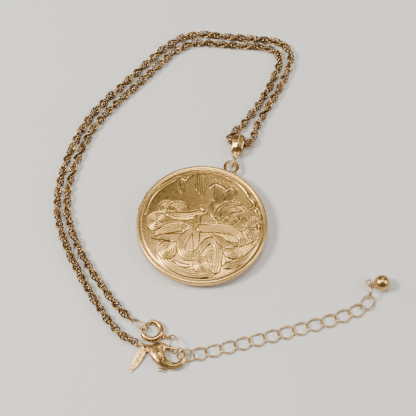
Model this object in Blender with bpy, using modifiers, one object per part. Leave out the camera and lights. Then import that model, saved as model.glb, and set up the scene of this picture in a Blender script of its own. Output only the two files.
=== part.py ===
"""A round engraved locket on a rope chain, with a spring ring, a lobster clasp and an extender chain.

World frame: the origin is the middle of the locket's flat back, +Z rises through the closed
front cover, +Y points to the top loop, and the hinge of the cover runs along Y at -X.
Everything lies on the plane z = 0.
"""

import math

import bmesh
import bpy
from mathutils import Euler, Matrix, Vector

MM = 0.001
GAP = 0.02 * MM

# Locket shell
LOCKET_R = 19.0 * MM
SEAM_Z = 2.4 * MM
WALL_IN_R = 18.4 * MM
LOCKET_STEPS = 60
FRONT_RIM_Z = 3.9 * MM
DOME_R = 17.4 * MM
DOME_TOP_Z = 5.2 * MM
DOME_RISE = 1.35 * MM
SHELL = 0.53 * MM

# Snap bezel, picture rings and windows
BEZEL_OUT_R = 18.35 * MM
BEZEL_IN_R = 17.85 * MM
BEZEL_Z = (1.8 * MM, 2.95 * MM)
PICTURE_IN_R = 16.2 * MM
FRONT_RING_Z = (3.0 * MM, 3.28 * MM)
BACK_RING_Z = (1.95 * MM, 2.25 * MM)
FRONT_WINDOW = (16.3 * MM, 3.3 * MM, 3.42 * MM)
BACK_WINDOW = (17.2 * MM, 1.8 * MM, 1.92 * MM)

# Cover hinge, its axis parallel to Y
HINGE_X = -18.85 * MM
HINGE_Z = 2.41 * MM
KNUCKLE_R = 0.45 * MM
KNUCKLE_BORE_R = 0.24 * MM
PIN_R = 0.2 * MM
KNUCKLE_SPLIT_Y = 1.1 * MM
KNUCKLE_PLAY = 0.05 * MM
HINGE_HALF = 3.15 * MM
NOTCH_HALF_Y = 3.25 * MM
NOTCH_IN_X = -18.32 * MM
NOTCH_HALF_Z = 0.8 * MM
LEAF_X = (-0.12 * MM, 0.42 * MM)
LEAF_END = 0.78 * MM

# Top loop and the hanging pieces
LOOP_Y = 21.1 * MM
LOOP_OUT_R = 2.4 * MM
LOOP_IN_R = 1.4 * MM
LOOP_Z = (1.6 * MM, 2.36 * MM)
BAIL_YAW = math.radians(12.0)
BAIL_EYE = Vector((-0.28 * MM, 24.42 * MM, 0.0))
BAIL_RING_AT = Vector((0.0, 23.0 * MM, 2.0 * MM))
BAIL_RING_R = 1.35 * MM
BAIL_RING_WIRE = 0.26 * MM
BAIL_HOLE = (5.4, 2.2, 1.85, 1.5)
BAIL_EYE_R = 0.45
BAIL_HALF_DEPTH = 6.0 * MM
BAIL_HALF_WIDTH = 3.0 * MM

# Rope chain
CHAIN_R = 1.1 * MM
CHAIN_STEP = 7.0 * MM

# Clasp at chain end A
RING_A_AT = Vector((-3.5 * MM, -34.9 * MM, 1.22 * MM))
RING_A_YAW = math.radians(-10.0)
RING_A_TILT = math.radians(-38.0)
RING_A_SIZE = (2.75 * MM, 1.55 * MM, 0.25 * MM)
SPRING_RING_AT = Vector((0.4 * MM, -35.15 * MM, 1.06 * MM))
SPRING_RING_R = 2.65 * MM
SPRING_TUBE_R = 0.8 * MM
SPRING_BORE_R = 0.45 * MM
BOLT_R = 0.36 * MM
TUBE_ARC = (-138.0, 127.0)
BORE_ARC = (6.0, 131.0)
BOLT_ARC = (62.0, 218.0)
TAB_ANGLE = 70.0
SLOT_ARC = (14.0, 78.0)
TAB_REACH = (1.55 * MM, 2.6 * MM)
TAB_HALF = 0.16 * MM
SLOT_HALF = 0.22 * MM
SPRING_EYE_ANGLE = 0.0
SPRING_EYE_REACH = 4.24 * MM
SPRING_EYE_R = 0.55 * MM
SPRING_EYE_WIRE = 0.2 * MM
JUMP_RING_AT = Vector((5.54 * MM, -35.07 * MM, 1.27 * MM))
JUMP_RING_YAW = math.radians(5.0)
JUMP_RING_R = 0.94 * MM
JUMP_RING_WIRE = 0.2 * MM

# Clasp at chain end B
RING_B_AT = Vector((-0.44 * MM, -40.33 * MM, 1.63 * MM))
RING_B_R = 1.4 * MM
RING_B_WIRE = 0.22 * MM
LOBSTER_Z = 1.35 * MM
LOBSTER_PIVOT = Vector((5.3 * MM, -38.9 * MM, LOBSTER_Z))
LOBSTER_EYE = (0.9, -40.35, 0.5)
LOBSTER_REACH = 6.0 * MM
LOBSTER_MIDDLE_Y = -40.5 * MM
PIVOT_R = 0.28 * MM
PIVOT_HALF = 1.17 * MM
PIVOT_BORE_R = 0.33 * MM
GATE_HALF = 0.36 * MM
GATE_SLOT_HALF = 0.44 * MM
TAG_AT = Vector((0.55 * MM, -40.35 * MM, 0.7 * MM))
TAG_YAW = math.radians(-3.0)
TAG_PITCH = math.radians(3.0)
TAG_HALF = 0.18 * MM
TAG_HOLE_R = 0.62 * MM
TAG_LENGTH = 8.4 * MM
TAG_HALF_WIDTH = 1.25 * MM

# Extender chain
LINK_A = 2.35 * MM
LINK_B = 1.75 * MM
LINK_TWIST = 0.42 * MM
LINK_WIRE = 0.22 * MM
LINK_Z = 0.66 * MM
LINK_POINTS = 20
LINK_COUNT = 12
CLASP_LINK_A = 2.7 * MM
CLASP_LINK_AT = Vector((7.77 * MM, -36.57 * MM, 1.7 * MM))
CLASP_LINK_YAW = math.radians(-50.0)
CLASP_LINK_TILT = math.radians(45.0)
FIRST_LINK_AT = Vector((12.32 * MM, -38.1 * MM, 1.45 * MM))
FIRST_LINK_YAW = math.radians(22.5)
FIRST_LINK_TILT = math.radians(42.5)
LIFTED_LINK_RISE = 0.2 * MM
LIFTED_LINK_PITCH = math.radians(5.0)
EXTENDER_ROUTE = (
    (15.3, -36.0),
    (19.0, -33.1),
    (23.2, -29.7),
    (31.5, -22.9),
    (40.0, -15.9),
    (46.2, -10.4),
    (50.65, -5.75),
)
TURN_LINK_AT = Vector((52.55 * MM, -2.35 * MM, 0.74 * MM))
TURN_LINK_YAW = math.radians(72.0)
TURN_LINK_PITCH = math.radians(-3.0)
EDGE_LINK_AT = Vector((52.05 * MM, 1.2 * MM, 1.99 * MM))
EDGE_LINK_YAW = math.radians(110.0)
DROP_EYE_AT = Vector((51.0 * MM, 3.25 * MM, 2.05 * MM))
DROP_EYE_R = 0.9 * MM
DROP_EYE_WIRE = 0.24 * MM
BALL_AT = Vector((54.22 * MM, 4.53 * MM, 2.32 * MM))
BALL_R = 2.3 * MM

# Route of the rope chain in millimetres, from the spring ring round the bail to the lobster
CHAIN_ROUTE = (
    (-6.85, -34.2, 1.25),
    (-9.0, -33.5, 1.15),
    (-12.5, -32.0, 1.15),
    (-17.5, -29.1, 1.15),
    (-23.6, -25.3, 1.15),
    (-30.2, -20.2, 1.15),
    (-36.8, -13.2, 1.15),
    (-40.6, -6.0, 1.15),
    (-42.5, 1.5, 1.15),
    (-43.4, 9.0, 1.15),
    (-43.3, 16.0, 1.15),
    (-42.2, 22.5, 1.15),
    (-40.2, 29.0, 1.15),
    (-37.1, 38.0, 1.15),
    (-34.4, 46.0, 1.15),
    (-32.6, 51.0, 1.15),
    (-29.9, 55.0, 1.15),
    (-26.1, 57.7, 1.15),
    (-21.2, 59.4, 1.15),
    (-16.5, 61.0, 1.15),
    (-11.8, 62.8, 1.15),
    (-7.2, 64.2, 1.15),
    (-3.6, 63.8, 1.15),
    (-1.7, 61.6, 1.15),
    (-1.0, 58.0, 1.15),
    (-0.9, 53.5, 1.15),
    (-1.0, 48.5, 1.15),
    (-1.5, 43.5, 1.15),
    (-2.4, 39.0, 1.15),
    (-3.1, 35.6, 1.2),
    (-4.1, 32.8, 1.35),
    (-4.75, 31.0, 1.6),
    (-4.45, 29.6, 1.85),
    (-3.3, 29.1, 1.95),
    (-1.45, 29.6, 1.95),
    (0.45, 30.05, 1.95),
    (1.5, 30.9, 1.85),
    (1.75, 32.4, 1.6),
    (1.5, 34.8, 1.3),
    (1.2, 38.0, 1.15),
    (1.3, 42.0, 1.15),
    (1.7, 46.5, 1.15),
    (2.1, 51.5, 1.15),
    (2.1, 56.5, 1.15),
    (1.8, 61.0, 1.15),
    (0.6, 64.8, 1.15),
    (-2.2, 67.1, 1.15),
    (-6.4, 67.3, 1.15),
    (-11.2, 65.9, 1.15),
    (-16.0, 64.2, 1.15),
    (-21.0, 62.5, 1.15),
    (-26.6, 60.8, 1.15),
    (-31.4, 57.8, 1.15),
    (-35.0, 53.0, 1.15),
    (-37.2, 47.6, 1.15),
    (-40.2, 38.8, 1.15),
    (-43.2, 30.0, 1.15),
    (-45.3, 23.0, 1.15),
    (-46.3, 16.0, 1.15),
    (-46.3, 8.8, 1.15),
    (-45.4, 1.0, 1.15),
    (-43.4, -6.8, 1.15),
    (-39.3, -14.8, 1.15),
    (-32.6, -22.2, 1.15),
    (-26.2, -27.6, 1.15),
    (-20.0, -32.3, 1.15),
    (-14.4, -36.0, 1.15),
    (-9.6, -38.7, 1.2),
    (-5.8, -40.0, 1.4),
    (-2.5, -40.35, 1.55),
)

# Half outline of the bail seen from the front (half width, distance from the eye) in millimetres
BAIL_FRONT = (
    (0.0, -0.85),
    (0.48, -0.7),
    (0.8, -0.3),
    (0.82, 0.25),
    (0.62, 0.75),
    (0.75, 1.15),
    (1.25, 1.6),
    (1.55, 2.15),
    (1.6, 2.8),
    (1.45, 3.5),
    (1.55, 4.2),
    (1.7, 5.0),
    (1.65, 5.9),
    (1.4, 6.8),
    (1.0, 7.55),
    (0.5, 8.0),
    (0.0, 8.15),
)

# Side outline of the bail (distance from the eye, height) in millimetres
BAIL_SIDE = (
    (-1.0, 1.68),
    (0.9, 1.68),
    (1.9, 1.2),
    (2.9, 0.6),
    (3.9, 0.25),
    (5.2, 0.1),
    (6.5, 0.3),
    (7.5, 0.95),
    (8.2, 2.2),
    (7.5, 3.45),
    (6.5, 4.1),
    (5.2, 4.35),
    (3.9, 4.2),
    (2.9, 3.8),
    (1.9, 3.2),
    (0.9, 2.36),
    (-1.0, 2.36),
)

# Outline of the lobster body in millimetres: eye, back, hook, mouth, shoulder
LOBSTER_OUTLINE = (
    (1.2, -39.42),
    (0.6, -39.45),
    (0.1, -39.85),
    (-0.06, -40.35),
    (0.1, -40.9),
    (0.6, -41.25),
    (1.2, -41.3),
    (2.2, -41.5),
    (3.3, -42.3),
    (4.4, -42.95),
    (5.8, -43.55),
    (7.2, -43.85),
    (8.5, -43.9),
    (9.9, -43.65),
    (11.2, -43.05),
    (12.2, -42.1),
    (12.8, -40.8),
    (12.85, -39.4),
    (12.4, -38.2),
    (11.5, -37.2),
    (10.4, -36.65),
    (9.3, -36.6),
    (9.1, -37.1),
    (9.3, -37.65),
    (10.2, -37.75),
    (10.95, -38.3),
    (11.35, -39.3),
    (11.25, -40.3),
    (10.7, -41.1),
    (9.8, -41.5),
    (8.7, -41.5),
    (7.6, -41.05),
    (6.9, -40.3),
    (6.5, -39.5),
    (6.4, -38.7),
    (6.3, -38.0),
    (6.0, -37.4),
    (5.3, -37.35),
    (4.4, -37.45),
    (3.4, -37.85),
    (2.5, -38.6),
    (1.8, -39.3),
)

# Side outline of the lobster (along X, height above its middle) in millimetres
LOBSTER_SIDE = (
    (-0.5, 0.4),
    (1.9, 0.4),
    (3.0, 1.0),
    (4.5, 1.2),
    (6.4, 1.15),
    (8.2, 0.7),
    (9.2, 0.5),
    (13.5, 0.52),
)

# Outline of the gate lever in millimetres: gate tip, pivot end, trigger arm
GATE_OUTLINE = (
    (8.98, -37.1),
    (8.98, -37.62),
    (7.7, -37.85),
    (6.6, -38.25),
    (6.0, -38.75),
    (5.95, -39.3),
    (6.1, -40.6),
    (6.6, -42.2),
    (7.15, -43.6),
    (7.5, -44.1),
    (8.0, -44.3),
    (8.2, -44.75),
    (8.0, -45.2),
    (7.5, -45.35),
    (7.05, -45.1),
    (6.9, -44.6),
    (6.55, -43.8),
    (5.95, -42.4),
    (5.4, -40.9),
    (5.0, -39.6),
    (4.6, -39.1),
    (4.65, -38.5),
    (5.1, -38.15),
    (5.9, -37.9),
    (6.8, -37.45),
    (8.0, -37.12),
)

# The space swept by the lever inside the lobster body, in millimetres
GATE_SPACE = (
    (9.6, -37.0),
    (9.0, -38.6),
    (7.0, -38.6),
    (6.35, -39.3),
    (6.4, -40.4),
    (6.95, -42.2),
    (7.5, -43.7),
    (7.5, -44.6),
    (4.2, -44.6),
    (3.95, -42.4),
    (4.1, -40.4),
    (4.2, -38.9),
    (4.6, -38.2),
    (5.3, -37.85),
    (6.2, -37.45),
    (6.6, -37.0),
)


# Pivots: name, the pivot it hangs on, a point on its axis in millimetres, its pieces
PIVOTS = (
    ("bail_pivot", None, (-1.42, 29.8, 1.95), ("bail",)),
    ("bail_ring_pivot", "bail_pivot", (-0.28, 24.42, 2.0), ("bail_ring",)),
    (
        "locket_pivot",
        "bail_ring_pivot",
        (0.0, 22.95, 1.98),
        (
            "back_cover",
            "snap_bezel",
            "picture_ring_back",
            "picture_window_back",
            "hinge_knuckle_upper",
            "hinge_knuckle_lower",
            "hinge_pin",
            "top_loop",
        ),
    ),
    (
        "cover_pivot",
        "locket_pivot",
        (-18.85, 0.0, 2.41),
        ("front_cover", "hinge_knuckle_front", "picture_ring_front", "picture_window_front"),
    ),
    ("ring_a_pivot", None, (-6.2, -34.4, 1.22), ("chain_end_ring_a",)),
    (
        "spring_ring_pivot",
        "ring_a_pivot",
        (-2.1, -35.2, 1.1),
        ("spring_ring_tube", "spring_ring_eye"),
    ),
    ("bolt_pivot", "spring_ring_pivot", (0.4, -35.15, 1.06), ("spring_ring_bolt",)),
    ("jump_ring_pivot", "spring_ring_pivot", (4.85, -35.15, 1.1), ("clasp_jump_ring",)),
    ("clasp_link_pivot", "jump_ring_pivot", (6.1, -35.05, 1.3), ("clasp_oval_link",)),
    ("ring_b_pivot", None, (-1.9, -40.35, 1.6), ("chain_end_ring_b",)),
    ("tag_pivot", "ring_b_pivot", (0.52, -40.35, 0.66), ("tag",)),
    ("lobster_pivot", "ring_b_pivot", (0.87, -40.35, 1.35), ("lobster_body", "lobster_pin")),
    ("gate_pivot", "lobster_pivot", (5.3, -38.9, 1.35), ("lobster_gate",)),
    ("link_01_pivot", "lobster_pivot", (11.8, -38.3, 1.35), ("extender_link_01",)),
)


def clear_scene():
    for obj in list(bpy.data.objects):
        bpy.data.objects.remove(obj, do_unlink=True)


def new_collection(name, parent=None):
    made = bpy.data.collections.new(name)
    (parent or bpy.context.scene.collection).children.link(made)
    return made


def metal(name, colour, roughness):
    made = bpy.data.materials.new(name)
    made.use_nodes = True
    shader = made.node_tree.nodes["Principled BSDF"]
    shader.inputs["Base Color"].default_value = (*colour, 1.0)
    shader.inputs["Metallic"].default_value = 1.0
    shader.inputs["Roughness"].default_value = roughness
    return made


def clear_plastic(name):
    made = bpy.data.materials.new(name)
    made.use_nodes = True
    shader = made.node_tree.nodes["Principled BSDF"]
    shader.inputs["Base Color"].default_value = (0.9, 0.9, 0.88, 1.0)
    shader.inputs["Roughness"].default_value = 0.08
    shader.inputs["Transmission Weight"].default_value = 0.9
    return made


def place(obj, collection, material=None):
    collection.objects.link(obj)
    if material:
        obj.data.materials.append(material)
    return obj


def smooth_sides(obj, sharp_degrees=35.0):
    """Shades a round piece smooth, with its sharp edges kept."""
    mesh = obj.data
    mesh.shade_smooth()
    mesh.set_sharp_from_angle(angle=math.radians(sharp_degrees))
    return obj


def turned(name, profile, steps, at=(0.0, 0.0, 0.0), closed=False):
    """A profile in the XZ plane, spun about Z."""
    mesh = bpy.data.meshes.new(name)
    ends = [(i, i + 1) for i in range(len(profile) - 1)]
    if closed:
        ends.append((len(profile) - 1, 0))
    mesh.from_pydata([(r, 0.0, z) for r, z in profile], ends, [])
    obj = bpy.data.objects.new(name, mesh)
    obj.location = at
    spin = obj.modifiers.new("spin", "SCREW")
    spin.axis = "Z"
    spin.angle = math.tau
    spin.steps = steps
    spin.render_steps = steps
    spin.use_merge_vertices = True
    spin.merge_threshold = 0.000001
    spin.use_smooth_shade = True
    return obj


def flat_ring(name, out_r, in_r, low, high, steps, at=(0.0, 0.0, 0.0)):
    profile = ((out_r, high), (out_r, low), (in_r, low), (in_r, high))
    return turned(name, profile, steps, at, closed=True)


def disc(name, radius, low, high, steps, at=(0.0, 0.0, 0.0)):
    profile = ((0.0, high), (radius, high), (radius, low), (0.0, low))
    return turned(name, profile, steps, at)


def wire(name, points, radius, cyclic=False, resolution=2):
    """A round wire along a row of points."""
    curve = bpy.data.curves.new(name, "CURVE")
    curve.dimensions = "3D"
    curve.bevel_depth = radius
    curve.bevel_resolution = resolution
    curve.use_fill_caps = not cyclic
    spline = curve.splines.new("POLY")
    spline.points.add(len(points) - 1)
    for slot, p in zip(spline.points, points):
        slot.co = (*p, 1.0)
    spline.use_cyclic_u = cyclic
    spline.use_smooth = True
    return bpy.data.objects.new(name, curve)


def slab(name, loops, half):
    """Flat closed outlines in the XY plane, thickened to both sides. Later loops are holes."""
    curve = bpy.data.curves.new(name, "CURVE")
    curve.dimensions = "2D"
    curve.fill_mode = "BOTH"
    curve.extrude = half
    for loop in loops:
        spline = curve.splines.new("POLY")
        spline.points.add(len(loop) - 1)
        for slot, (x, y) in zip(spline.points, loop):
            slot.co = (x, y, 0.0, 1.0)
        spline.use_cyclic_u = True
    return bpy.data.objects.new(name, curve)


def meshed(obj, matrix=None):
    """The curve object as a mesh object of the same name, in world space."""
    graph = bpy.context.evaluated_depsgraph_get()
    graph.update()
    mesh = bpy.data.meshes.new_from_object(obj.evaluated_get(graph))
    name = obj.name
    if matrix is not None:
        mesh.transform(matrix)
    bpy.data.objects.remove(obj, do_unlink=True)
    form = bmesh.new()
    form.from_mesh(mesh)
    bmesh.ops.remove_doubles(form, verts=form.verts, dist=0.0000005)
    bmesh.ops.recalc_face_normals(form, faces=form.faces)
    form.to_mesh(mesh)
    form.free()
    mesh.name = name
    return bpy.data.objects.new(name, mesh)


def solid_slab(name, loops, half, matrix, collection):
    """A thickened outline turned into a mesh and moved into place."""
    flat = place(slab(name, loops, half), collection)
    return place(meshed(flat, matrix), collection)


def box(name, low, high):
    form = bmesh.new()
    bmesh.ops.create_cube(form, size=1.0)
    size = [b - a for a, b in zip(low, high)]
    middle = [(a + b) / 2.0 for a, b in zip(low, high)]
    for v in form.verts:
        v.co = [m + s * c for m, s, c in zip(middle, size, v.co)]
    mesh = bpy.data.meshes.new(name)
    form.to_mesh(mesh)
    form.free()
    return bpy.data.objects.new(name, mesh)


def cylinder(name, radius, low, high, steps, at, axis="Z"):
    form = bmesh.new()
    bmesh.ops.create_cone(
        form, cap_ends=True, segments=steps, radius1=radius, radius2=radius, depth=high - low
    )
    bmesh.ops.translate(form, verts=form.verts, vec=(0.0, 0.0, (high + low) / 2.0))
    if axis == "Y":
        bmesh.ops.rotate(form, verts=form.verts, matrix=Matrix.Rotation(-math.pi / 2.0, 3, "X"))
    mesh = bpy.data.meshes.new(name)
    form.to_mesh(mesh)
    form.free()
    obj = bpy.data.objects.new(name, mesh)
    obj.location = at
    return obj


def boolean(obj, other, operation, cutters):
    """Cuts, joins or keeps the overlap of obj with other, which becomes a hidden cutter."""
    for owner in list(other.users_collection):
        owner.objects.unlink(other)
    cutters.objects.link(other)
    other.hide_render = True
    other.display_type = "WIRE"
    step = obj.modifiers.new(operation.lower(), "BOOLEAN")
    step.operation = operation
    step.solver = "EXACT"
    step.object = other


def circle(radius, count, centre=(0.0, 0.0)):
    turn = math.tau / count
    return [
        (centre[0] + radius * math.cos(turn * i), centre[1] + radius * math.sin(turn * i))
        for i in range(count)
    ]


def arc_points(radius, first, last, count):
    """Points on an arc about the origin, angles in degrees."""
    angles = [math.radians(first + (last - first) * i / (count - 1)) for i in range(count)]
    return [Vector((radius * math.cos(a), radius * math.sin(a), 0.0)) for a in angles]


def in_mm(points):
    return [tuple(c * MM for c in p) for p in points]


def pose(at, yaw, tilt=0.0, pitch=0.0):
    """Turned about its own long axis, then pitched nose down, then turned about Z."""
    turn = Euler((0.0, 0.0, yaw)).to_matrix() @ Euler((0.0, pitch, 0.0)).to_matrix()
    turn = turn @ Euler((tilt, 0.0, 0.0)).to_matrix()
    return Matrix.Translation(at) @ turn.to_4x4()


def oval(a, b, twist, matrix, count):
    """Centre line of an oval link, its two sides bent so neighbours can pass."""
    points = []
    for i in range(count):
        t = math.tau * i / count
        flat = Vector((a * math.cos(t), b * math.sin(t), twist * math.sin(2.0 * t)))
        points.append(matrix @ flat)
    return points


def oval_link(name, a, b, twist, radius, matrix, count=LINK_POINTS):
    return wire(name, oval(a, b, twist, matrix, count), radius, cyclic=True, resolution=1)


def upright_ring(name, radius, wire_r, at, yaw, count=16):
    """A round ring standing on edge."""
    matrix = pose(at, yaw, math.pi / 2.0)
    return wire(name, oval(radius, radius, 0.0, matrix, count), wire_r, cyclic=True, resolution=1)


def smooth_route(route, step):
    """Points on a smooth curve through the route, no further apart than about one step."""
    knots = [Vector(p) * MM for p in route]
    knots = [2.0 * knots[0] - knots[1]] + knots + [2.0 * knots[-1] - knots[-2]]
    points = []
    for a, b, c, d in zip(knots, knots[1:], knots[2:], knots[3:]):
        parts = max(1, math.ceil((c - b).length / step))
        for i in range(parts):
            t = i / parts
            bend = (-a + 3.0 * b - 3.0 * c + d) * t**3
            bend += (2.0 * a - 5.0 * b + 4.0 * c - d) * t**2
            points.append(0.5 * (bend + (c - a) * t + 2.0 * b))
    points.append(knots[-2])
    return points


def spaced(route, count):
    """Evenly spaced (point, heading) pairs along a smooth curve through the route."""
    line = smooth_route([(x, y, 0.0) for x, y in route], MM)
    reach = [0.0]
    for a, b in zip(line, line[1:]):
        reach.append(reach[-1] + (b - a).length)
    pairs = []
    for i in range(count):
        want = reach[-1] * i / (count - 1)
        n = max(k for k in range(len(line) - 1) if reach[k] <= want + 1e-12)
        share = (want - reach[n]) / (reach[n + 1] - reach[n])
        step = line[n + 1] - line[n]
        pairs.append((line[n] + step * share, math.atan2(step.y, step.x)))
    return pairs


def dome_z(r):
    return DOME_TOP_Z - DOME_RISE * (r / DOME_R) ** 2


def front_cover(group, cutters, gold):
    dome = [DOME_R * k for k in (0.0, 0.25, 0.5, 0.72, 0.88, 1.0)]
    outside = [(r, dome_z(r)) for r in dome]
    outside += [
        (17.75 * MM, 3.76 * MM),
        (18.05 * MM, FRONT_RIM_Z - 0.03 * MM),
        (18.65 * MM, FRONT_RIM_Z),
        (18.92 * MM, 3.74 * MM),
        (LOCKET_R, 3.5 * MM),
        (LOCKET_R, SEAM_Z + GAP),
    ]
    inside = [(WALL_IN_R, SEAM_Z + GAP), (WALL_IN_R, 3.31 * MM)]
    inside += [(r, dome_z(r) - SHELL) for r in reversed(dome)]
    cover = place(turned("front_cover", outside + inside, LOCKET_STEPS), group, gold)
    boolean(cover, notch("front_notch"), "DIFFERENCE", cutters)
    return cover


def back_cover(group, cutters, gold):
    inside = [
        (0.0, 0.55),
        (12.5, 0.55),
        (15.0, 0.78),
        (16.8, 1.2),
        (17.7, 1.6),
        (18.4, 1.77),
        (18.4, 2.4),
    ]
    outside = [
        (19.0, 2.4),
        (19.0, 2.1),
        (18.8, 1.6),
        (18.1, 1.05),
        (16.8, 0.55),
        (15.0, 0.2),
        (12.5, 0.0),
        (0.0, 0.0),
    ]
    shell = place(turned("back_cover", in_mm(inside + outside), LOCKET_STEPS), group, gold)
    boolean(shell, notch("back_notch"), "DIFFERENCE", cutters)
    return shell


def notch(name):
    low = (-LOCKET_R - MM, -NOTCH_HALF_Y, HINGE_Z - NOTCH_HALF_Z)
    high = (NOTCH_IN_X, NOTCH_HALF_Y, HINGE_Z + NOTCH_HALF_Z)
    return box(name, low, high)


def knuckle(name, low, high, side, group, gold):
    """A hinge barrel with a leaf that runs up (side 1) or down (side -1) to its cover."""
    arc = [math.radians(a) for a in range(-210, 31, 30)]
    outline = [(KNUCKLE_R * math.cos(a), KNUCKLE_R * math.sin(a)) for a in arc]
    outline += [(LEAF_X[1], LEAF_END), (LEAF_X[0], LEAF_END)]
    if side < 0:
        outline = [(x, -z) for x, z in reversed(outline)]
    bore = circle(KNUCKLE_BORE_R, 12)
    across = Matrix.Translation((HINGE_X, (low + high) / 2.0, HINGE_Z))
    across = across @ Matrix.Rotation(math.pi / 2.0, 4, "X")
    piece = slab(name, (outline, bore), (high - low) / 2.0)
    return smooth_sides(place(meshed(place(piece, group), across), group, gold))


def locket_inside(group, gold, clear):
    bezel = flat_ring("snap_bezel", BEZEL_OUT_R, BEZEL_IN_R, *BEZEL_Z, LOCKET_STEPS)
    out_front = BEZEL_OUT_R - 0.05 * MM
    out_back = BEZEL_IN_R - 0.05 * MM
    front = flat_ring("picture_ring_front", out_front, PICTURE_IN_R, *FRONT_RING_Z, LOCKET_STEPS)
    back = flat_ring("picture_ring_back", out_back, PICTURE_IN_R, *BACK_RING_Z, LOCKET_STEPS)
    window_front = disc("picture_window_front", *FRONT_WINDOW, LOCKET_STEPS)
    window_back = disc("picture_window_back", *BACK_WINDOW, LOCKET_STEPS)
    for piece in (bezel, front, back):
        place(piece, group, gold)
    for piece in (window_front, window_back):
        place(piece, group, clear)


def top_loop(group, cutters, gold):
    loop = flat_ring("top_loop", LOOP_OUT_R, LOOP_IN_R, *LOOP_Z, 28, (0.0, LOOP_Y, 0.0))
    place(loop, group, gold)
    rim_r = LOCKET_R + 2.0 * GAP
    rim = cylinder("loop_seat", rim_r, 0.0, 5.0 * MM, LOCKET_STEPS, (0.0, 0.0, 0.0))
    boolean(loop, rim, "DIFFERENCE", cutters)
    return loop


def bail(group, cutters, gold):
    right = [(w, u) for w, u in BAIL_FRONT]
    left = [(-w, u) for w, u in reversed(BAIL_FRONT[1:-1])]
    eye = circle(BAIL_EYE_R, 14)
    front = (in_mm(right + left), in_mm(eye))
    lies = Matrix.Translation(BAIL_EYE) @ Matrix.Rotation(BAIL_YAW, 4, "Z")
    piece = solid_slab("bail", front, BAIL_HALF_DEPTH, lies, group)
    piece.data.materials.append(gold)
    middle_u, middle_z, half_u, half_z = BAIL_HOLE
    tunnel = [(middle_u + half_u * x, middle_z + half_z * y) for x, y in circle(1.0, 20)]
    side = (in_mm(BAIL_SIDE), in_mm(tunnel))
    stands = lies @ Matrix.Rotation(math.pi / 2.0, 4, "Z") @ Matrix.Rotation(math.pi / 2.0, 4, "X")
    keep = solid_slab("bail_side", side, BAIL_HALF_WIDTH, stands, group)
    boolean(piece, keep, "INTERSECT", cutters)
    return smooth_sides(piece)


def spring_ring(group, cutters, gold):
    at = Matrix.Translation(SPRING_RING_AT)
    tube_line = [at @ p for p in arc_points(SPRING_RING_R, *TUBE_ARC, 22)]
    tube = place(wire("spring_ring_tube", tube_line, SPRING_TUBE_R), group)
    tube = place(meshed(tube), group, gold)
    bore_line = [at @ p for p in arc_points(SPRING_RING_R, *BORE_ARC, 11)]
    bore = meshed(place(wire("bolt_bore", bore_line, SPRING_BORE_R), group))
    boolean(tube, bore, "DIFFERENCE", cutters)
    inner = [(p.x, p.y) for p in arc_points(TAB_REACH[0], *SLOT_ARC, 7)]
    outer = [(p.x, p.y) for p in arc_points(SPRING_RING_R, *SLOT_ARC, 7)]
    slot = solid_slab("tab_slot", (outer + inner[::-1],), SLOT_HALF, at, group)
    boolean(tube, slot, "DIFFERENCE", cutters)
    return smooth_sides(tube, 50.0)


def spring_bolt(group, cutters, gold):
    at = Matrix.Translation(SPRING_RING_AT)
    line = [at @ p for p in arc_points(SPRING_RING_R, *BOLT_ARC, 14)]
    bolt = place(meshed(place(wire("spring_ring_bolt", line, BOLT_R), group)), group, gold)
    tab = box("bolt_tab", (TAB_REACH[0], -TAB_HALF, -TAB_HALF), (TAB_REACH[1], TAB_HALF, TAB_HALF))
    turn = Matrix.Rotation(math.radians(TAB_ANGLE), 4, "Z")
    tab.data.transform(at @ turn)
    boolean(bolt, tab, "UNION", cutters)
    return smooth_sides(bolt, 50.0)


def spring_eye(group, gold):
    reach = Vector((math.cos(SPRING_EYE_ANGLE), math.sin(SPRING_EYE_ANGLE), 0.0))
    at = Matrix.Translation(SPRING_RING_AT + reach * SPRING_EYE_REACH)
    line = oval(SPRING_EYE_R, SPRING_EYE_R, 0.0, at, 14)
    eye = wire("spring_ring_eye", line, SPRING_EYE_WIRE, cyclic=True, resolution=1)
    return place(eye, group, gold)


def lobster_body(group, cutters, gold):
    eye = circle(LOBSTER_EYE[2], 14, LOBSTER_EYE[:2])
    lies = Matrix.Translation((0.0, 0.0, LOBSTER_Z))
    body = solid_slab("lobster_body", (in_mm(LOBSTER_OUTLINE), in_mm(eye)), LOBSTER_REACH, lies, group)
    body.data.materials.append(gold)
    top = list(LOBSTER_SIDE)
    below = [(x, -z) for x, z in reversed(top)]
    stands = Matrix.Translation((0.0, LOBSTER_MIDDLE_Y, LOBSTER_Z))
    stands = stands @ Matrix.Rotation(math.pi / 2.0, 4, "X")
    keep = solid_slab("lobster_side", (in_mm(top + below),), LOBSTER_REACH, stands, group)
    boolean(body, keep, "INTERSECT", cutters)
    space = solid_slab("gate_space", (in_mm(GATE_SPACE),), GATE_SLOT_HALF, lies, group)
    boolean(body, space, "DIFFERENCE", cutters)
    deep = LOBSTER_REACH
    bore = cylinder("pivot_bore", PIVOT_BORE_R, -deep, deep, 12, LOBSTER_PIVOT)
    boolean(body, bore, "DIFFERENCE", cutters)
    return smooth_sides(body)


def lobster_gate(group, gold):
    bore = circle(PIVOT_BORE_R / MM, 12, (LOBSTER_PIVOT.x / MM, LOBSTER_PIVOT.y / MM))
    lies = Matrix.Translation((0.0, 0.0, LOBSTER_Z))
    gate = solid_slab("lobster_gate", (in_mm(GATE_OUTLINE), in_mm(bore)), GATE_HALF, lies, group)
    gate.data.materials.append(gold)
    return smooth_sides(gate)


def lobster_pin(group, gold):
    pin = cylinder("lobster_pin", PIVOT_R, -PIVOT_HALF, PIVOT_HALF, 12, LOBSTER_PIVOT)
    return smooth_sides(place(pin, group, gold))


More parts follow.
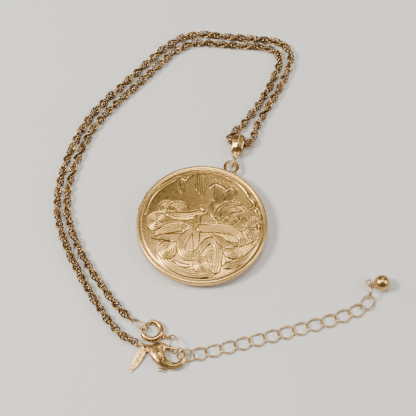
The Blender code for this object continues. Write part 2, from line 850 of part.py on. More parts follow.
def tag(group, gold):
    """A long pointed leaf with a round hole near its blunt end."""
    sides = []
    count = 9
    for i in range(count + 1):
        s = i / count
        swell = math.sin(math.pi * (0.2 + 0.8 * s)) ** 0.8 if i < count else 0.0
        sides.append((TAG_HALF_WIDTH * swell, -TAG_LENGTH * s))
    top = [(0.76 * MM, 0.4 * MM), (0.44 * MM, 0.78 * MM), (0.0, 0.92 * MM)]
    right = top[::-1] + sides
    left = [(-x, y) for x, y in reversed(right[1:-1])]
    hole = circle(TAG_HOLE_R, 12)
    matrix = Matrix.Translation(TAG_AT) @ Matrix.Rotation(TAG_YAW, 4, "Z")
    matrix = matrix @ Matrix.Rotation(TAG_PITCH, 4, "X")
    piece = solid_slab("tag", (right + left, hole), TAG_HALF, matrix, group)
    piece.data.materials.append(gold)
    return piece


def extender(group, gold):
    """Every link of the extender chain from the lobster to the ball; returns their middles."""
    flat = (LINK_A, LINK_B, LINK_TWIST, LINK_WIRE)
    poses = []
    for i, (at, heading) in enumerate(spaced(EXTENDER_ROUTE, LINK_COUNT)):
        rise = 0.0 if i else LIFTED_LINK_RISE
        pitch = 0.0 if i else LIFTED_LINK_PITCH
        poses.append(pose(Vector((at.x, at.y, LINK_Z + rise)), heading, 0.0, pitch))
    poses.append(pose(TURN_LINK_AT, TURN_LINK_YAW, 0.0, TURN_LINK_PITCH))
    clasped = pose(FIRST_LINK_AT, FIRST_LINK_YAW, FIRST_LINK_TILT)
    links = [oval_link("extender_link_01", LINK_A, LINK_B, 0.0, LINK_WIRE, clasped)]
    links += [oval_link(f"extender_link_{i + 2:02d}", *flat, m) for i, m in enumerate(poses)]
    on_edge = pose(EDGE_LINK_AT, EDGE_LINK_YAW, math.pi / 2.0)
    last = f"extender_link_{len(links) + 1:02d}"
    links.append(oval_link(last, LINK_A, LINK_B, 0.0, LINK_WIRE, on_edge))
    for link in links:
        place(link, group, gold)
    return [m.to_translation() for m in (clasped, *poses, on_edge)]


def drop(group, gold):
    matrix = Matrix.Translation(DROP_EYE_AT)
    line = oval(DROP_EYE_R, DROP_EYE_R, 0.0, matrix, 14)
    place(wire("drop_eye", line, DROP_EYE_WIRE, cyclic=True, resolution=1), group, gold)
    steps = 10
    turn = math.pi / steps
    profile = [(BALL_R * math.sin(turn * i), BALL_R * math.cos(turn * i)) for i in range(steps + 1)]
    profile[0] = (0.0, BALL_R)
    profile[-1] = (0.0, -BALL_R)
    place(turned("drop_ball", profile, 20, BALL_AT), group, gold)


def pivot(name, at, parent, pieces, group):
    """An empty on a joint's axis that carries the pieces turning about it."""
    empty = bpy.data.objects.new(name, None)
    empty.empty_display_size = MM
    empty.location = at
    group.objects.link(empty)
    if parent:
        held = bpy.data.objects[parent]
        empty.parent = held
        empty.matrix_parent_inverse = Matrix.Translation(-held.location)
    for piece in pieces:
        moved = bpy.data.objects[piece]
        moved.parent = empty
        moved.matrix_parent_inverse = Matrix.Translation(-empty.location)


def all_pivots(group, link_middles):
    """One empty for each joint; a link turns where it crosses the link before it."""
    for name, parent, at, pieces in PIVOTS:
        pivot(name, Vector(at) * MM, parent, pieces, group)
    middles = link_middles + [DROP_EYE_AT]
    for i, (before, after) in enumerate(zip(middles, middles[1:])):
        number = i + 2
        last = number > len(link_middles)
        name = "drop_pivot" if last else f"link_{number:02d}_pivot"
        pieces = ("drop_eye", "drop_ball") if last else (f"extender_link_{number:02d}",)
        pivot(name, (before + after) / 2.0, f"link_{number - 1:02d}_pivot", pieces, group)


def locket(group, cutters, gold, clear):
    front_cover(group, cutters, gold)
    back_cover(group, cutters, gold)
    locket_inside(group, gold, clear)
    split = KNUCKLE_SPLIT_Y
    inner = split - KNUCKLE_PLAY
    knuckle("hinge_knuckle_upper", split, HINGE_HALF, -1, group, gold)
    knuckle("hinge_knuckle_lower", -HINGE_HALF, -split, -1, group, gold)
    knuckle("hinge_knuckle_front", -inner, inner, 1, group, gold)
    hinge_at = Vector((HINGE_X, 0.0, HINGE_Z))
    pin = cylinder("hinge_pin", PIN_R, -HINGE_HALF, HINGE_HALF, 12, hinge_at, "Y")
    smooth_sides(place(pin, group, gold))
    top_loop(group, cutters, gold)


def hanger(group, cutters, gold):
    bail(group, cutters, gold)
    yaw = math.pi / 2.0 + BAIL_YAW
    ring = upright_ring("bail_ring", BAIL_RING_R, BAIL_RING_WIRE, BAIL_RING_AT, yaw)
    place(ring, group, gold)


def spring_ring_side(group, cutters, gold):
    """The ring on the chain, the spring ring, and the two links that lead to the lobster."""
    long_a, wide_a, wire_a = RING_A_SIZE
    matrix = pose(RING_A_AT, RING_A_YAW, RING_A_TILT)
    place(oval_link("chain_end_ring_a", long_a, wide_a, 0.0, wire_a, matrix), group, gold)
    spring_ring(group, cutters, gold)
    spring_bolt(group, cutters, gold)
    spring_eye(group, gold)
    shape = (JUMP_RING_R, JUMP_RING_WIRE, JUMP_RING_AT, JUMP_RING_YAW)
    place(upright_ring("clasp_jump_ring", *shape), group, gold)
    matrix = pose(CLASP_LINK_AT, CLASP_LINK_YAW, CLASP_LINK_TILT)
    link = oval_link("clasp_oval_link", CLASP_LINK_A, LINK_B, 0.0, LINK_WIRE, matrix)
    place(link, group, gold)


def lobster_side(group, cutters, gold):
    """The ring on the chain, the tag and the lobster clasp."""
    place(upright_ring("chain_end_ring_b", RING_B_R, RING_B_WIRE, RING_B_AT, 0.0), group, gold)
    lobster_body(group, cutters, gold)
    lobster_gate(group, gold)
    lobster_pin(group, gold)
    tag(group, gold)


def build():
    clear_scene()
    group = new_collection("locket_necklace")
    cutters = new_collection("cutters")
    gold = metal("gold_tone", (0.78, 0.55, 0.26), 0.25)
    chain_gold = metal("chain_gold", (0.72, 0.5, 0.25), 0.3)
    clear = clear_plastic("clear_window")

    locket(group, cutters, gold, clear)
    hanger(group, cutters, gold)
    chain = wire("necklace_chain", smooth_route(CHAIN_ROUTE, CHAIN_STEP), CHAIN_R)
    place(chain, group, chain_gold)
    spring_ring_side(group, cutters, gold)
    lobster_side(group, cutters, gold)
    middles = extender(group, gold)
    drop(group, gold)
    all_pivots(group, middles)
    cutters.hide_render = True


build()
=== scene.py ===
"""Looks of the engraved locket necklace: its chain, clasps, covers, materials, light and camera.

Millimetres throughout, turned to metres where a mesh is made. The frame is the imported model's:
+Z rises through the closed locket, whose back lies on z = 0 round the origin.
"""

import math

import bpy
import numpy as np
from mathutils import Matrix, Vector


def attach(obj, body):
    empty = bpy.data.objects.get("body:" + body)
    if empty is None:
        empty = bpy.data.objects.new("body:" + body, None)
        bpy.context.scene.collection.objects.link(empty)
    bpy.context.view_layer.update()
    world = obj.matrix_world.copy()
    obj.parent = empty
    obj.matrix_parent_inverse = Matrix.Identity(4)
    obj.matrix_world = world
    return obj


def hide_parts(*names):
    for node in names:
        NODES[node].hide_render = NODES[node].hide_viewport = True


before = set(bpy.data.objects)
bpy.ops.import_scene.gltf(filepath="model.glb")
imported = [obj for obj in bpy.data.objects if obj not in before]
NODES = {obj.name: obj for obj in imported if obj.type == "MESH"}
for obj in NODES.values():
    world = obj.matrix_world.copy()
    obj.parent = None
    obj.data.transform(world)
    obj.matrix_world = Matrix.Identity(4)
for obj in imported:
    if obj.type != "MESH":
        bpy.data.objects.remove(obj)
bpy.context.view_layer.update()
MM = 0.001

# Camera: what it looks at, how far off, how high, and how far it is turned about Z; then the floor
LOOK_AT = (-1.2, 7.0, 0.0)
CAMERA_DISTANCE = 455.3
CAMERA_ELEVATION = 63.6
CAMERA_TURN = 24.2
LENS = 134.3
FLOOR_EDGE = 900
FLOOR_Z = -0.05

# Rope chain: its rings, how they lean and turn along it, and how loosely they lie
RING_R = 1.02
RING_WIRE = 0.2
RING_PITCH = 0.72
RING_POINTS = 22
RING_LEAN = (0.94, 0.34)
RING_OFFSET = 0.16 * 0.3
ROPE_TURN = 7.4
ROPE_SEED = 7
ROPE_LOOSE_TURN = 0.12
ROPE_LOOSE_SHIFT = 0.03

# Extender links and the other wire pieces, as in the solids
LINK = (2.35, 1.75, 0.42)
LINK_WIRE = 0.22
LINK_SWELL = 0.045
LINK_Z = 0.66
LINK_COUNT = 12
# Poses of the wire pieces: middle, turn about Z, tilt about the long axis, pitch
FIRST_LINK = ((12.32, -38.1, 1.45), 22.5, 42.5, 0.0)
TURN_LINK = ((52.55, -2.35, 0.74), 72.0, 0.0, -3.0)
EDGE_LINK = ((52.05, 1.2, 1.99), 110.0, 90.0, 0.0)
CLASP_LINK = ((7.77, -36.57, 1.7), -50.0, 45.0, 0.0)
CLASP_LINK_A = 2.7
RING_A = ((-3.5, -34.9, 1.22), -10.0, -38.0, 0.0)
RING_B = ((-0.44, -40.33, 1.63), 0.0, 90.0, 0.0)
JUMP_RING = ((5.54, -35.07, 1.27), 5.0, 90.0, 0.0)
BAIL_RING = ((0.0, 23.0, 2.0), 102.0, 90.0, 0.0)

# Spring ring: its middle and eye; tube as ring radius, tube radius, first and last angle; bolt as
# radius, first and last angle; then the angle of the thumb tab and of the slot's two ends
SPRING_RING = (0.4, -35.15, 1.06)
SPRING_EYE = (4.64, -35.15, 1.06)
SPRING_TUBE = (2.65, 0.8, -138.0, 126.5)
SPRING_BOLT = (0.36, 62.0, 218.0)
SPRING_TAB_ANGLE = 70.0
SPRING_SLOT = (14.0, 78.0)

# Bead with its eye, bail, lobster clasp, tag and hinge
DROP_EYE = (51.0, 3.25, 2.05)
BALL = (54.22, 4.53, 2.32)
BALL_R = 2.3
LOOP_AT = (0.0, 21.1, 0.0)
BAIL_EYE = (-0.28, 24.42)
BAIL_YAW = 12.0
BAIL_WIDTH = (
    (-0.85, 0.8, 0.9, 1.9, 2.8, 3.5, 5.0, 6.8, 8.15),
    (0.5, 0.75, 0.8, 1.4, 1.6, 1.45, 1.7, 1.4, 0.5),
)
BAIL_MIDDLE_Z = 2.2
LOBSTER_Z = 1.35
LOBSTER_PIN = (5.3, -38.9, LOBSTER_Z)
LOBSTER_KNOB = (7.62, -44.85, LOBSTER_Z)
TAG_AT = (0.55, -40.35, 0.7)
TAG_YAW = -3.0
TAG_PITCH = 3.0
TAG_LENGTH = 8.4
TAG_HALF_WIDTH = 1.25
HINGE = (-18.85, 2.41)
KNUCKLE_R = 0.45
KNUCKLE_LEAF = [(0.42, 0.78), (-0.12, 0.78)]
NOTCH = (-18.32, 3.25, 0.8)

# Middle of the flat extender links, from the clasped one to the turn before the bead
EXTENDER_ROUTE = (
    (15.3, -36.0), (19.0, -33.1), (23.2, -29.7), (31.5, -22.9), (40.0, -15.9), (46.2, -10.4),
    (50.65, -5.75),
)

# Knots of the rope chain, from the spring ring round the bail to the lobster, as in the solids
CHAIN_ROUTE = (
    (-6.85, -34.2, 1.25), (-9.0, -33.5, 1.15), (-12.5, -32.0, 1.15), (-17.5, -29.1, 1.15),
    (-23.6, -25.3, 1.15), (-30.2, -20.2, 1.15), (-36.8, -13.2, 1.15), (-40.6, -6.0, 1.15),
    (-42.5, 1.5, 1.15), (-43.4, 9.0, 1.15), (-43.3, 16.0, 1.15), (-42.2, 22.5, 1.15),
    (-40.2, 29.0, 1.15), (-37.1, 38.0, 1.15), (-34.4, 46.0, 1.15), (-32.6, 51.0, 1.15),
    (-29.9, 55.0, 1.15), (-26.1, 57.7, 1.15), (-21.2, 59.4, 1.15), (-16.5, 61.0, 1.15),
    (-11.8, 62.8, 1.15), (-7.2, 64.2, 1.15), (-3.6, 63.8, 1.15), (-1.7, 61.6, 1.15),
    (-1.0, 58.0, 1.15), (-0.9, 53.5, 1.15), (-1.0, 48.5, 1.15), (-1.5, 43.5, 1.15),
    (-2.4, 39.0, 1.15), (-3.1, 35.6, 1.2), (-4.1, 32.8, 1.35), (-4.75, 31.0, 1.6),
    (-4.45, 29.6, 1.85), (-3.3, 29.1, 1.95), (-1.45, 29.6, 1.95), (0.45, 30.05, 1.95),
    (1.5, 30.9, 1.85), (1.75, 32.4, 1.6), (1.5, 34.8, 1.3), (1.2, 38.0, 1.15), (1.3, 42.0, 1.15),
    (1.7, 46.5, 1.15), (2.1, 51.5, 1.15), (2.1, 56.5, 1.15), (1.8, 61.0, 1.15), (0.6, 64.8, 1.15),
    (-2.2, 67.1, 1.15), (-6.4, 67.3, 1.15), (-11.2, 65.9, 1.15), (-16.0, 64.2, 1.15),
    (-21.0, 62.5, 1.15), (-26.6, 60.8, 1.15), (-31.4, 57.8, 1.15), (-35.0, 53.0, 1.15),
    (-37.2, 47.6, 1.15), (-40.2, 38.8, 1.15), (-43.2, 30.0, 1.15), (-45.3, 23.0, 1.15),
    (-46.3, 16.0, 1.15), (-46.3, 8.8, 1.15), (-45.4, 1.0, 1.15), (-43.4, -6.8, 1.15),
    (-39.3, -14.8, 1.15), (-32.6, -22.2, 1.15), (-26.2, -27.6, 1.15), (-20.0, -32.3, 1.15),
    (-14.4, -36.0, 1.15), (-9.6, -38.7, 1.2), (-5.8, -40.0, 1.4), (-2.5, -40.35, 1.55),
)

# Outline of the lobster clasp: eye, back, hook, mouth, shoulder
LOBSTER_OUTLINE = (
    (1.2, -39.42), (0.1, -39.85), (-0.06, -40.35), (0.1, -40.9), (1.2, -41.3), (2.2, -41.5),
    (3.3, -42.3), (4.4, -42.95), (5.8, -43.55), (7.2, -43.85), (8.5, -43.9), (9.9, -43.65),
    (11.2, -43.05), (12.2, -42.1), (12.8, -40.8), (12.85, -39.4), (12.4, -38.2), (11.5, -37.2),
    (10.4, -36.65), (9.3, -36.6), (9.1, -37.1), (9.3, -37.65), (10.2, -37.75), (10.95, -38.3),
    (11.35, -39.3), (11.25, -40.3), (10.7, -41.1), (9.8, -41.5), (8.7, -41.5), (7.6, -41.05),
    (6.9, -40.3), (6.5, -39.5), (6.3, -38.0), (6.0, -37.4), (5.3, -37.35), (4.4, -37.45),
    (3.4, -37.85), (2.5, -38.6), (1.8, -39.3),
)

# The drop-shaped rim on its body, and the crest along its hook
LOBSTER_DROP = (
    (5.0, -40.2), (4.55, -40.6), (4.6, -41.2), (5.4, -41.95), (6.5, -42.3), (6.9, -41.9),
    (6.5, -41.2), (5.8, -40.5),
)
LOBSTER_SPINE = (
    (5.4, -42.1), (6.9, -42.6), (8.6, -42.8), (10.3, -42.3), (11.7, -40.9), (12.1, -39.2),
    (11.7, -38.0),
)

# Locket cover
LOCKET_R = 19.0
DOME_R = 17.4
DOME_TOP = 5.2
DOME_RISE = 1.35
COVER_GRID = 500
RIM_PROFILE = (
    (17.48, 3.8), (17.6, 3.72), (17.75, 3.7), (17.9, 3.76), (18.1, 3.86), (18.35, 3.91),
    (18.6, 3.9), (18.8, 3.83), (18.93, 3.7), (18.99, 3.5), (19.0, 3.22), (19.0, 3.2), (19.0, 2.55),
    (18.95, 2.44), (18.4, 2.42), (18.4, 3.2), (18.4, 3.25),
)
BACK_PROFILE = (
    (0.0, 0.55), (12.5, 0.55), (15.0, 0.78), (16.8, 1.2), (17.7, 1.57), (18.34, 1.6), (18.38, 1.64),
    (18.4, 2.34), (18.45, 2.39), (18.94, 2.39), (19.0, 2.33), (19.0, 2.1), (18.95, 1.85),
    (18.83, 1.63), (18.8, 1.6), (18.5, 1.28), (18.1, 1.03), (17.5, 0.76), (16.8, 0.54),
    (16.0, 0.35), (15.0, 0.19), (13.9, 0.07), (12.6, 0.0),
)

# Engraving: grooves round each form, the pitch of its fine lines and how deep they are cut
GROOVE = 0.14
GROOVE_WIDTH = 0.15
LINE_PITCH = 0.64
LINE_DEPTH = 0.042
FAINT_DEPTH = 0.024
GROUND_PITCH = 0.66
GROUND_DEPTH = 0.016
RIM_FADE = 0.3
KNOT_STEP = 0.3

# How dark the flat ground of the cover is, and how deep a cut is fully dark
GROUND_TARNISH = 0.3
TARNISH_DEPTH = 0.13


# ---------------- mesh tools


def mesh_object(name, verts, faces, material=None, smooth=True):
    """A mesh object from points in millimetres."""
    mesh = bpy.data.meshes.new(name)
    mesh.from_pydata((np.asarray(verts, float) * MM).tolist(), [], [tuple(f) for f in faces])
    mesh.update()
    if smooth:
        mesh.shade_smooth()
    obj = bpy.data.objects.new(name, mesh)
    bpy.context.scene.collection.objects.link(obj)
    if material:
        mesh.materials.append(material)
    return obj


def smooth_line(knots, step, closed=False):
    """Points on a smooth curve through the knots, about one step apart."""
    knots = [np.asarray(k, float) for k in knots]
    if closed:
        knots = [knots[-1]] + knots + knots[:2]
    else:
        knots = [2 * knots[0] - knots[1]] + knots + [2 * knots[-1] - knots[-2]]
    points = []
    for a, b, c, d in zip(knots, knots[1:], knots[2:], knots[3:]):
        parts = max(1, math.ceil(np.linalg.norm(c - b) / step))
        for i in range(parts):
            t = i / parts
            bend = (-a + 3 * b - 3 * c + d) * t**3 + (2 * a - 5 * b + 4 * c - d) * t**2
            points.append(0.5 * (bend + (c - a) * t + 2 * b))
    if not closed:
        points.append(knots[-2])
    return np.array(points)


def held(value):
    """The value kept between 0 and 1."""
    return np.clip(value, 0.0, 1.0)


def walked(line):
    """How far along a line each of its points is."""
    steps = np.linalg.norm(np.diff(line, axis=0), axis=1)
    return np.concatenate(([0.0], np.cumsum(steps)))


def evenly(line, pitch):
    """Points every pitch along a line, with their headings and how far along they are."""
    reach = walked(line)
    count = int(round(reach[-1] / pitch)) + 1
    want = np.linspace(0.0, reach[-1], count)
    points = np.stack([np.interp(want, reach, line[:, k]) for k in range(3)], 1)
    heading = np.gradient(points, axis=0)
    heading /= np.linalg.norm(heading, axis=1)[:, None]
    return points, heading, want


def across(heading):
    """Two unit vectors across a heading, the first one level."""
    side = np.cross(heading, (0.0, 0.0, 1.0))
    side /= np.linalg.norm(side, axis=-1, keepdims=True) + 1e-12
    return side, np.cross(side, heading)


def tube(line, radius, sides=12, closed=False):
    """Vertices and faces of a round tube along a line; radius may change along it."""
    line = np.asarray(line, float)
    count = len(line)
    radius = np.broadcast_to(np.asarray(radius, float), (count,))
    ahead = np.roll(line, -1, 0) - np.roll(line, 1, 0)
    if not closed:
        ahead[0] = line[1] - line[0]
        ahead[-1] = line[-1] - line[-2]
    ahead /= np.linalg.norm(ahead, axis=1)[:, None]
    normal = np.cross(ahead[0], (0.3, 0.2, 0.93))
    normals = []
    for direction in ahead:
        normal = normal - direction * np.dot(normal, direction)
        normal /= np.linalg.norm(normal)
        normals.append(normal)
    normals = np.array(normals)
    other = np.cross(ahead, normals)
    turn = np.arange(sides) * math.tau / sides
    ring = np.cos(turn)[None, :, None] * normals[:, None] + np.sin(turn)[None, :, None] * other[:, None]
    verts = (line[:, None] + ring * radius[:, None, None]).reshape(-1, 3)
    faces = []
    for i in range(count if closed else count - 1):
        a, b = i * sides, (i + 1) % count * sides
        for j in range(sides):
            k = (j + 1) % sides
            faces.append((a + j, a + k, b + k, b + j))
    if not closed:
        faces.append(tuple(range(sides))[::-1])
        faces.append(tuple(range((count - 1) * sides, count * sides)))
    return verts, faces


def joined(parts):
    """Several (vertices, faces) as one."""
    verts, faces, base = [], [], 0
    for v, f in parts:
        verts.append(np.asarray(v, float))
        faces += [tuple(i + base for i in face) for face in f]
        base += len(v)
    return np.concatenate(verts), faces


def turned(profile, steps):
    """Vertices and faces of an (r, z) profile spun about Z; it may start or end on the axis."""
    turn = np.arange(steps) * math.tau / steps
    verts, faces, rows = [], [], []
    for r, z in profile:
        if r < 1e-9:
            rows.append([len(verts)] * steps)
            verts.append((0.0, 0.0, z))
        else:
            rows.append(list(range(len(verts), len(verts) + steps)))
            verts += [(r * math.cos(t), r * math.sin(t), z) for t in turn]
    for low, high in zip(rows, rows[1:]):
        for j in range(steps):
            k = (j + 1) % steps
            face = [high[j], high[k], low[k], low[j]]
            faces.append(tuple(dict.fromkeys(face)))
    return np.array(verts), faces


def rounded(corners, radius, parts=4):
    """A closed (r, z) outline with its corners rounded."""
    corners = [np.asarray(c, float) for c in corners]
    points = []
    for before, here, after in zip(corners[-1:] + corners[:-1], corners, corners[1:] + corners[:1]):
        back = (before - here) / np.linalg.norm(before - here) * radius
        ahead = (after - here) / np.linalg.norm(after - here) * radius
        for i in range(parts + 1):
            t = i / parts
            points.append(here + back * (1 - t) ** 2 + ahead * t**2)
    return points


def turned_ring(corners, radius, steps, at=(0.0, 0.0, 0.0)):
    """A ring turned from an (r, z) outline with rounded corners."""
    profile = rounded(corners, radius)
    verts, faces = turned(profile + profile[:1], steps)
    return verts + np.asarray(at, float), faces


def turn_matrix(at, yaw, tilt, pitch):
    """Turned about its own long axis, pitched, then turned about Z; angles in degrees."""
    matrix = Matrix.Rotation(math.radians(yaw), 4, "Z") @ Matrix.Rotation(math.radians(pitch), 4, "Y")
    matrix = matrix @ Matrix.Rotation(math.radians(tilt), 4, "X")
    return np.array(Matrix.Translation(at) @ matrix)


def moved(points, matrix):
    """Points taken through a 4 by 4 matrix."""
    return np.asarray(points, float) @ matrix[:3, :3].T + matrix[:3, 3]


def oval(a, b, twist, pose, count=64):
    """A closed line round an oval, its ends twisted out of flat."""
    t = np.arange(count) * math.tau / count
    flat = np.stack([a * np.cos(t), b * np.sin(t), twist * np.sin(2.0 * t)], 1)
    return moved(flat, turn_matrix(*pose))


def tarnish_and_shade(obj, depth):
    """Stores how dark each point is for its material, 0 to 1: painted shade on the chain, patina in the cuts
    of the cover.
    """
    values = np.zeros(len(obj.data.vertices))
    values[: len(depth)] = held(depth)
    layer = obj.data.attributes.new("patina_and_shade", "FLOAT", "POINT")
    layer.data.foreach_set("value", values)


def finish_piece(obj, body, *nodes):
    """The piece moves with a body and stands for its solids, which are hidden."""
    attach(obj, body)
    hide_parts(*nodes)
    return obj


# ---------------- materials


class Nodes:
    """A short way to make and join shader nodes."""

    def __init__(self, name):
        self.material = bpy.data.materials.new(name)
        self.material.use_nodes = True
        self.tree = self.material.node_tree
        self.shader = self.tree.nodes["Principled BSDF"]

    def add(self, kind, values=None, **settings):
        node = self.tree.nodes.new(kind)
        for key, value in settings.items():
            setattr(node, key, value)
        for key, value in (values or {}).items():
            node.inputs[key].default_value = value
        return node

    def join(self, source, target):
        self.tree.links.new(source, target)

    def noise(self, scale, detail=3.0, rough=0.5):
        place = self.add("ShaderNodeTexCoord")
        noise = self.add("ShaderNodeTexNoise", {"Scale": scale, "Detail": detail, "Roughness": rough})
        self.join(place.outputs["Object"], noise.inputs["Vector"])
        return noise.outputs["Fac"]

    def ramp(self, source, stops):
        ramp = self.add("ShaderNodeValToRGB")
        elements = ramp.color_ramp.elements
        while len(elements) < len(stops):
            elements.new(0.5)
        for element, (place, colour) in zip(elements, stops):
            element.position = place
            element.color = (*colour, 1.0)
        self.join(source, ramp.inputs["Fac"])
        return ramp.outputs["Color"]

    def spread(self, source, low, high):
        """The 0 to 1 source as low to high."""
        node = self.add("ShaderNodeMapRange", {"To Min": low, "To Max": high})
        self.join(source, node.inputs["Value"])
        return node.outputs["Result"]

    def mix(self, factor, first, second):
        node = self.add("ShaderNodeMix", data_type="RGBA")
        self.join(factor, node.inputs["Factor"])
        for value, socket in ((first, node.inputs[6]), (second, node.inputs[7])):
            if isinstance(value, tuple):
                socket.default_value = (*value, 1.0)
            else:
                self.join(value, socket)
        return node.outputs[2]

    def bump(self, height, strength, distance):
        node = self.add("ShaderNodeBump", {"Strength": strength, "Distance": distance})
        self.join(height, node.inputs["Height"])
        self.join(node.outputs["Normal"], self.shader.inputs["Normal"])


def gold(name, light, dark, rough, scratch=0.25, patina_and_shade=None):
    """Gold-tone plating: slow colour drift, worn sheen, hairline scratches, and a dark colour mixed in by a
    stored attribute: painted shade on the chain, patina in the cuts of the cover.
    """
    n = Nodes(name)
    drift = n.noise(140.0, 4.0, 0.6)
    colour = n.ramp(drift, ((0.3, dark), (0.7, light)))
    if patina_and_shade:
        depth = n.add("ShaderNodeAttribute", attribute_name="patina_and_shade").outputs["Fac"]
        colour = n.mix(depth, colour, patina_and_shade)
    n.join(colour, n.shader.inputs["Base Color"])
    n.shader.inputs["Metallic"].default_value = 1.0
    wear = n.noise(900.0, 5.0, 0.65)
    n.join(n.spread(wear, rough - 0.06, rough + 0.09), n.shader.inputs["Roughness"])
    place = n.add("ShaderNodeTexCoord")
    stretch = n.add("ShaderNodeMapping", {"Scale": (1400.0, 160.0, 700.0), "Rotation": (0.2, 0.1, 0.6)})
    hair = n.add("ShaderNodeTexNoise", {"Scale": 1.0, "Detail": 2.0})
    n.join(place.outputs["Object"], stretch.inputs["Vector"])
    n.join(stretch.outputs["Vector"], hair.inputs["Vector"])
    n.bump(hair.outputs["Fac"], scratch, 0.00002)
    return n.material


def clear_window():
    """Clear plastic with a faint haze."""
    n = Nodes("clear_window")
    haze = n.noise(60.0)
    n.join(n.spread(haze, 0.02, 0.07), n.shader.inputs["Roughness"])
    n.shader.inputs["Base Color"].default_value = (0.98, 0.98, 0.97, 1.0)
    n.shader.inputs["Transmission Weight"].default_value = 1.0
    n.shader.inputs["IOR"].default_value = 1.49
    return n.material


def floor_paper():
    """Plain pale paper with a fine grain."""
    n = Nodes("floor_paper")
    cloud = n.noise(6.0, 5.0)
    tone = n.ramp(cloud, ((0.3, (0.7, 0.69, 0.67)), (0.75, (0.76, 0.75, 0.73))))
    n.join(tone, n.shader.inputs["Base Color"])
    n.shader.inputs["Roughness"].default_value = 0.85
    n.bump(n.noise(900.0, 6.0), 0.12, 0.0002)
    return n.material


# ---------------- chain and wire pieces


def inner_shade_and_tarnish(off):
    """The inner side of a chain ring is darker: painted shade between the rings, with some tarnish there; off
    is how far a point is from its middle.
    """
    return 0.3 + 0.9 * (RING_R - off) / RING_WIRE


def low_painted_shade(height):
    """The underside of the chain is darker: painted shade under it."""
    return (1.1 - height) / 1.4


def rope_chain(material):
    """A twisted chain of small round rings, each turned a little from the one before."""
    line = smooth_line(CHAIN_ROUTE, 1.0)
    points, heading, reach = evenly(line, RING_PITCH)
    side, up = across(heading)
    rng = np.random.default_rng(ROPE_SEED)
    turn = reach * math.tau / ROPE_TURN + rng.normal(0.0, ROPE_LOOSE_TURN, len(reach))
    shift = rng.normal(0.0, ROPE_LOOSE_SHIFT, (len(reach), 3))
    around = np.arange(RING_POINTS) * math.tau / RING_POINTS
    parts, inner = [], []
    for p, ahead, s, u, t, small in zip(points, heading, side, up, turn, shift):
        out = s * math.cos(t) + u * math.sin(t)
        flat = u * math.cos(t) - s * math.sin(t)
        lean = ahead * RING_LEAN[0] + out * RING_LEAN[1]
        centre = p + flat * RING_OFFSET + small
        ring = centre + RING_R * (np.cos(around)[:, None] * lean + np.sin(around)[:, None] * flat)
        ring[:, 2] = np.maximum(ring[:, 2], RING_WIRE + 0.02)
        parts.append(tube(ring, RING_WIRE, 8, closed=True))
        off = np.linalg.norm(parts[-1][0] - centre, axis=1)
        inner.append(inner_shade_and_tarnish(off))
    verts, faces = joined(parts)
    chain = mesh_object("rope_chain", verts, faces, material)
    # Painted shade: darker under the chain and on the inner side of each ring, where the rings shade each
    # other.
    tarnish_and_shade(chain, np.maximum(np.concatenate(inner), low_painted_shade(verts[:, 2])))
    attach(chain, "chain")
    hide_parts("necklace_chain")
    return chain


def wire_piece(name, line, radius, material, body, *nodes):
    """A closed loop of round wire."""
    verts, faces = tube(line, radius, 14, closed=True)
    return finish_piece(mesh_object(name, verts, faces, material), body, *nodes)


def link_poses():
    """Where each flat extender link lies: the first one is lifted onto the clasped link."""
    line = smooth_line(EXTENDER_ROUTE, 1.0)
    reach = walked(line)
    poses = []
    for i in range(LINK_COUNT):
        want = reach[-1] * i / (LINK_COUNT - 1)
        n = min(int(np.searchsorted(reach, want + 1e-9, side="right")) - 1, len(line) - 2)
        share = (want - reach[n]) / (reach[n + 1] - reach[n])
        step = line[n + 1] - line[n]
        at = line[n] + step * share
        rise, pitch = (0.0, 0.0) if i else (0.2, 5.0)
        yaw = math.degrees(math.atan2(step[1], step[0]))
        poses.append(((at[0], at[1], LINK_Z + rise), yaw, 0.0, pitch))
    return poses


def extender(material):
    """The oval links, a little stouter along their sides than where they hold each other."""
    a, b, twist = LINK
    lines = [oval(a, b, 0.0, FIRST_LINK)]
    lines += [oval(a, b, twist, pose) for pose in link_poses() + [TURN_LINK]]
    lines.append(oval(a, b, 0.0, EDGE_LINK))
    turn = np.arange(len(lines[0])) * math.tau / len(lines[0])
    radius = LINK_WIRE + LINK_SWELL * np.sin(turn) ** 4
    for number, line in enumerate(lines, 1):
        name = f"oval_link_{number:02d}"
        wire_piece(name, line, radius, material, f"link_{number:02d}", f"extender_link_{number:02d}")


def clasp_rings(material):
    """The rings at the chain's ends, the links between the clasps, and the ring of the bail."""
    wire_piece("chain_ring_a", oval(2.75, 1.55, 0.0, RING_A), 0.25, material, "ring_a", "chain_end_ring_a")
    wire_piece("chain_ring_b", oval(1.4, 1.4, 0.0, RING_B), 0.22, material, "ring_b", "chain_end_ring_b")
    wire_piece("jump_ring", oval(0.94, 0.94, 0.0, JUMP_RING), 0.2, material, "jump_ring", "clasp_jump_ring")
    line = oval(CLASP_LINK_A, LINK[1], 0.0, CLASP_LINK)
    wire_piece("clasp_link", line, LINK_WIRE, material, "clasp_link", "clasp_oval_link")
    wire_piece("double_bail_ring", oval(1.35, 1.35, 0.0, BAIL_RING), 0.26, material, "bail_ring", "bail_ring")


# ---------------- engraved cover


def nearest(line, x, y):
    """For points x, y: distance from a line, share along it, length along it, and side of it."""
    best = np.full(x.shape, 1e9)
    length = np.zeros(x.shape)
    side = np.zeros(x.shape)
    steps = np.linalg.norm(np.diff(line, axis=0), axis=1)
    total = steps.sum()
    gone = 0.0
    for a, b, step in zip(line, line[1:], steps):
        dx, dy = (b - a) / step
        along = np.clip((x - a[0]) * dx + (y - a[1]) * dy, 0.0, step)
        ox = x - a[0] - along * dx
        oy = y - a[1] - along * dy
        off = np.hypot(ox, oy)
        near = off < best
        best = np.where(near, off, best)
        length = np.where(near, gone + along, length)
        side = np.where(near, np.sign(dx * oy - dy * ox), side)
        gone += step
    return best, length / total, length, side


def bump_on(off, half):
    """1 on a line and falling to 0 about one half width away."""
    return np.exp(-((off / half) ** 2))


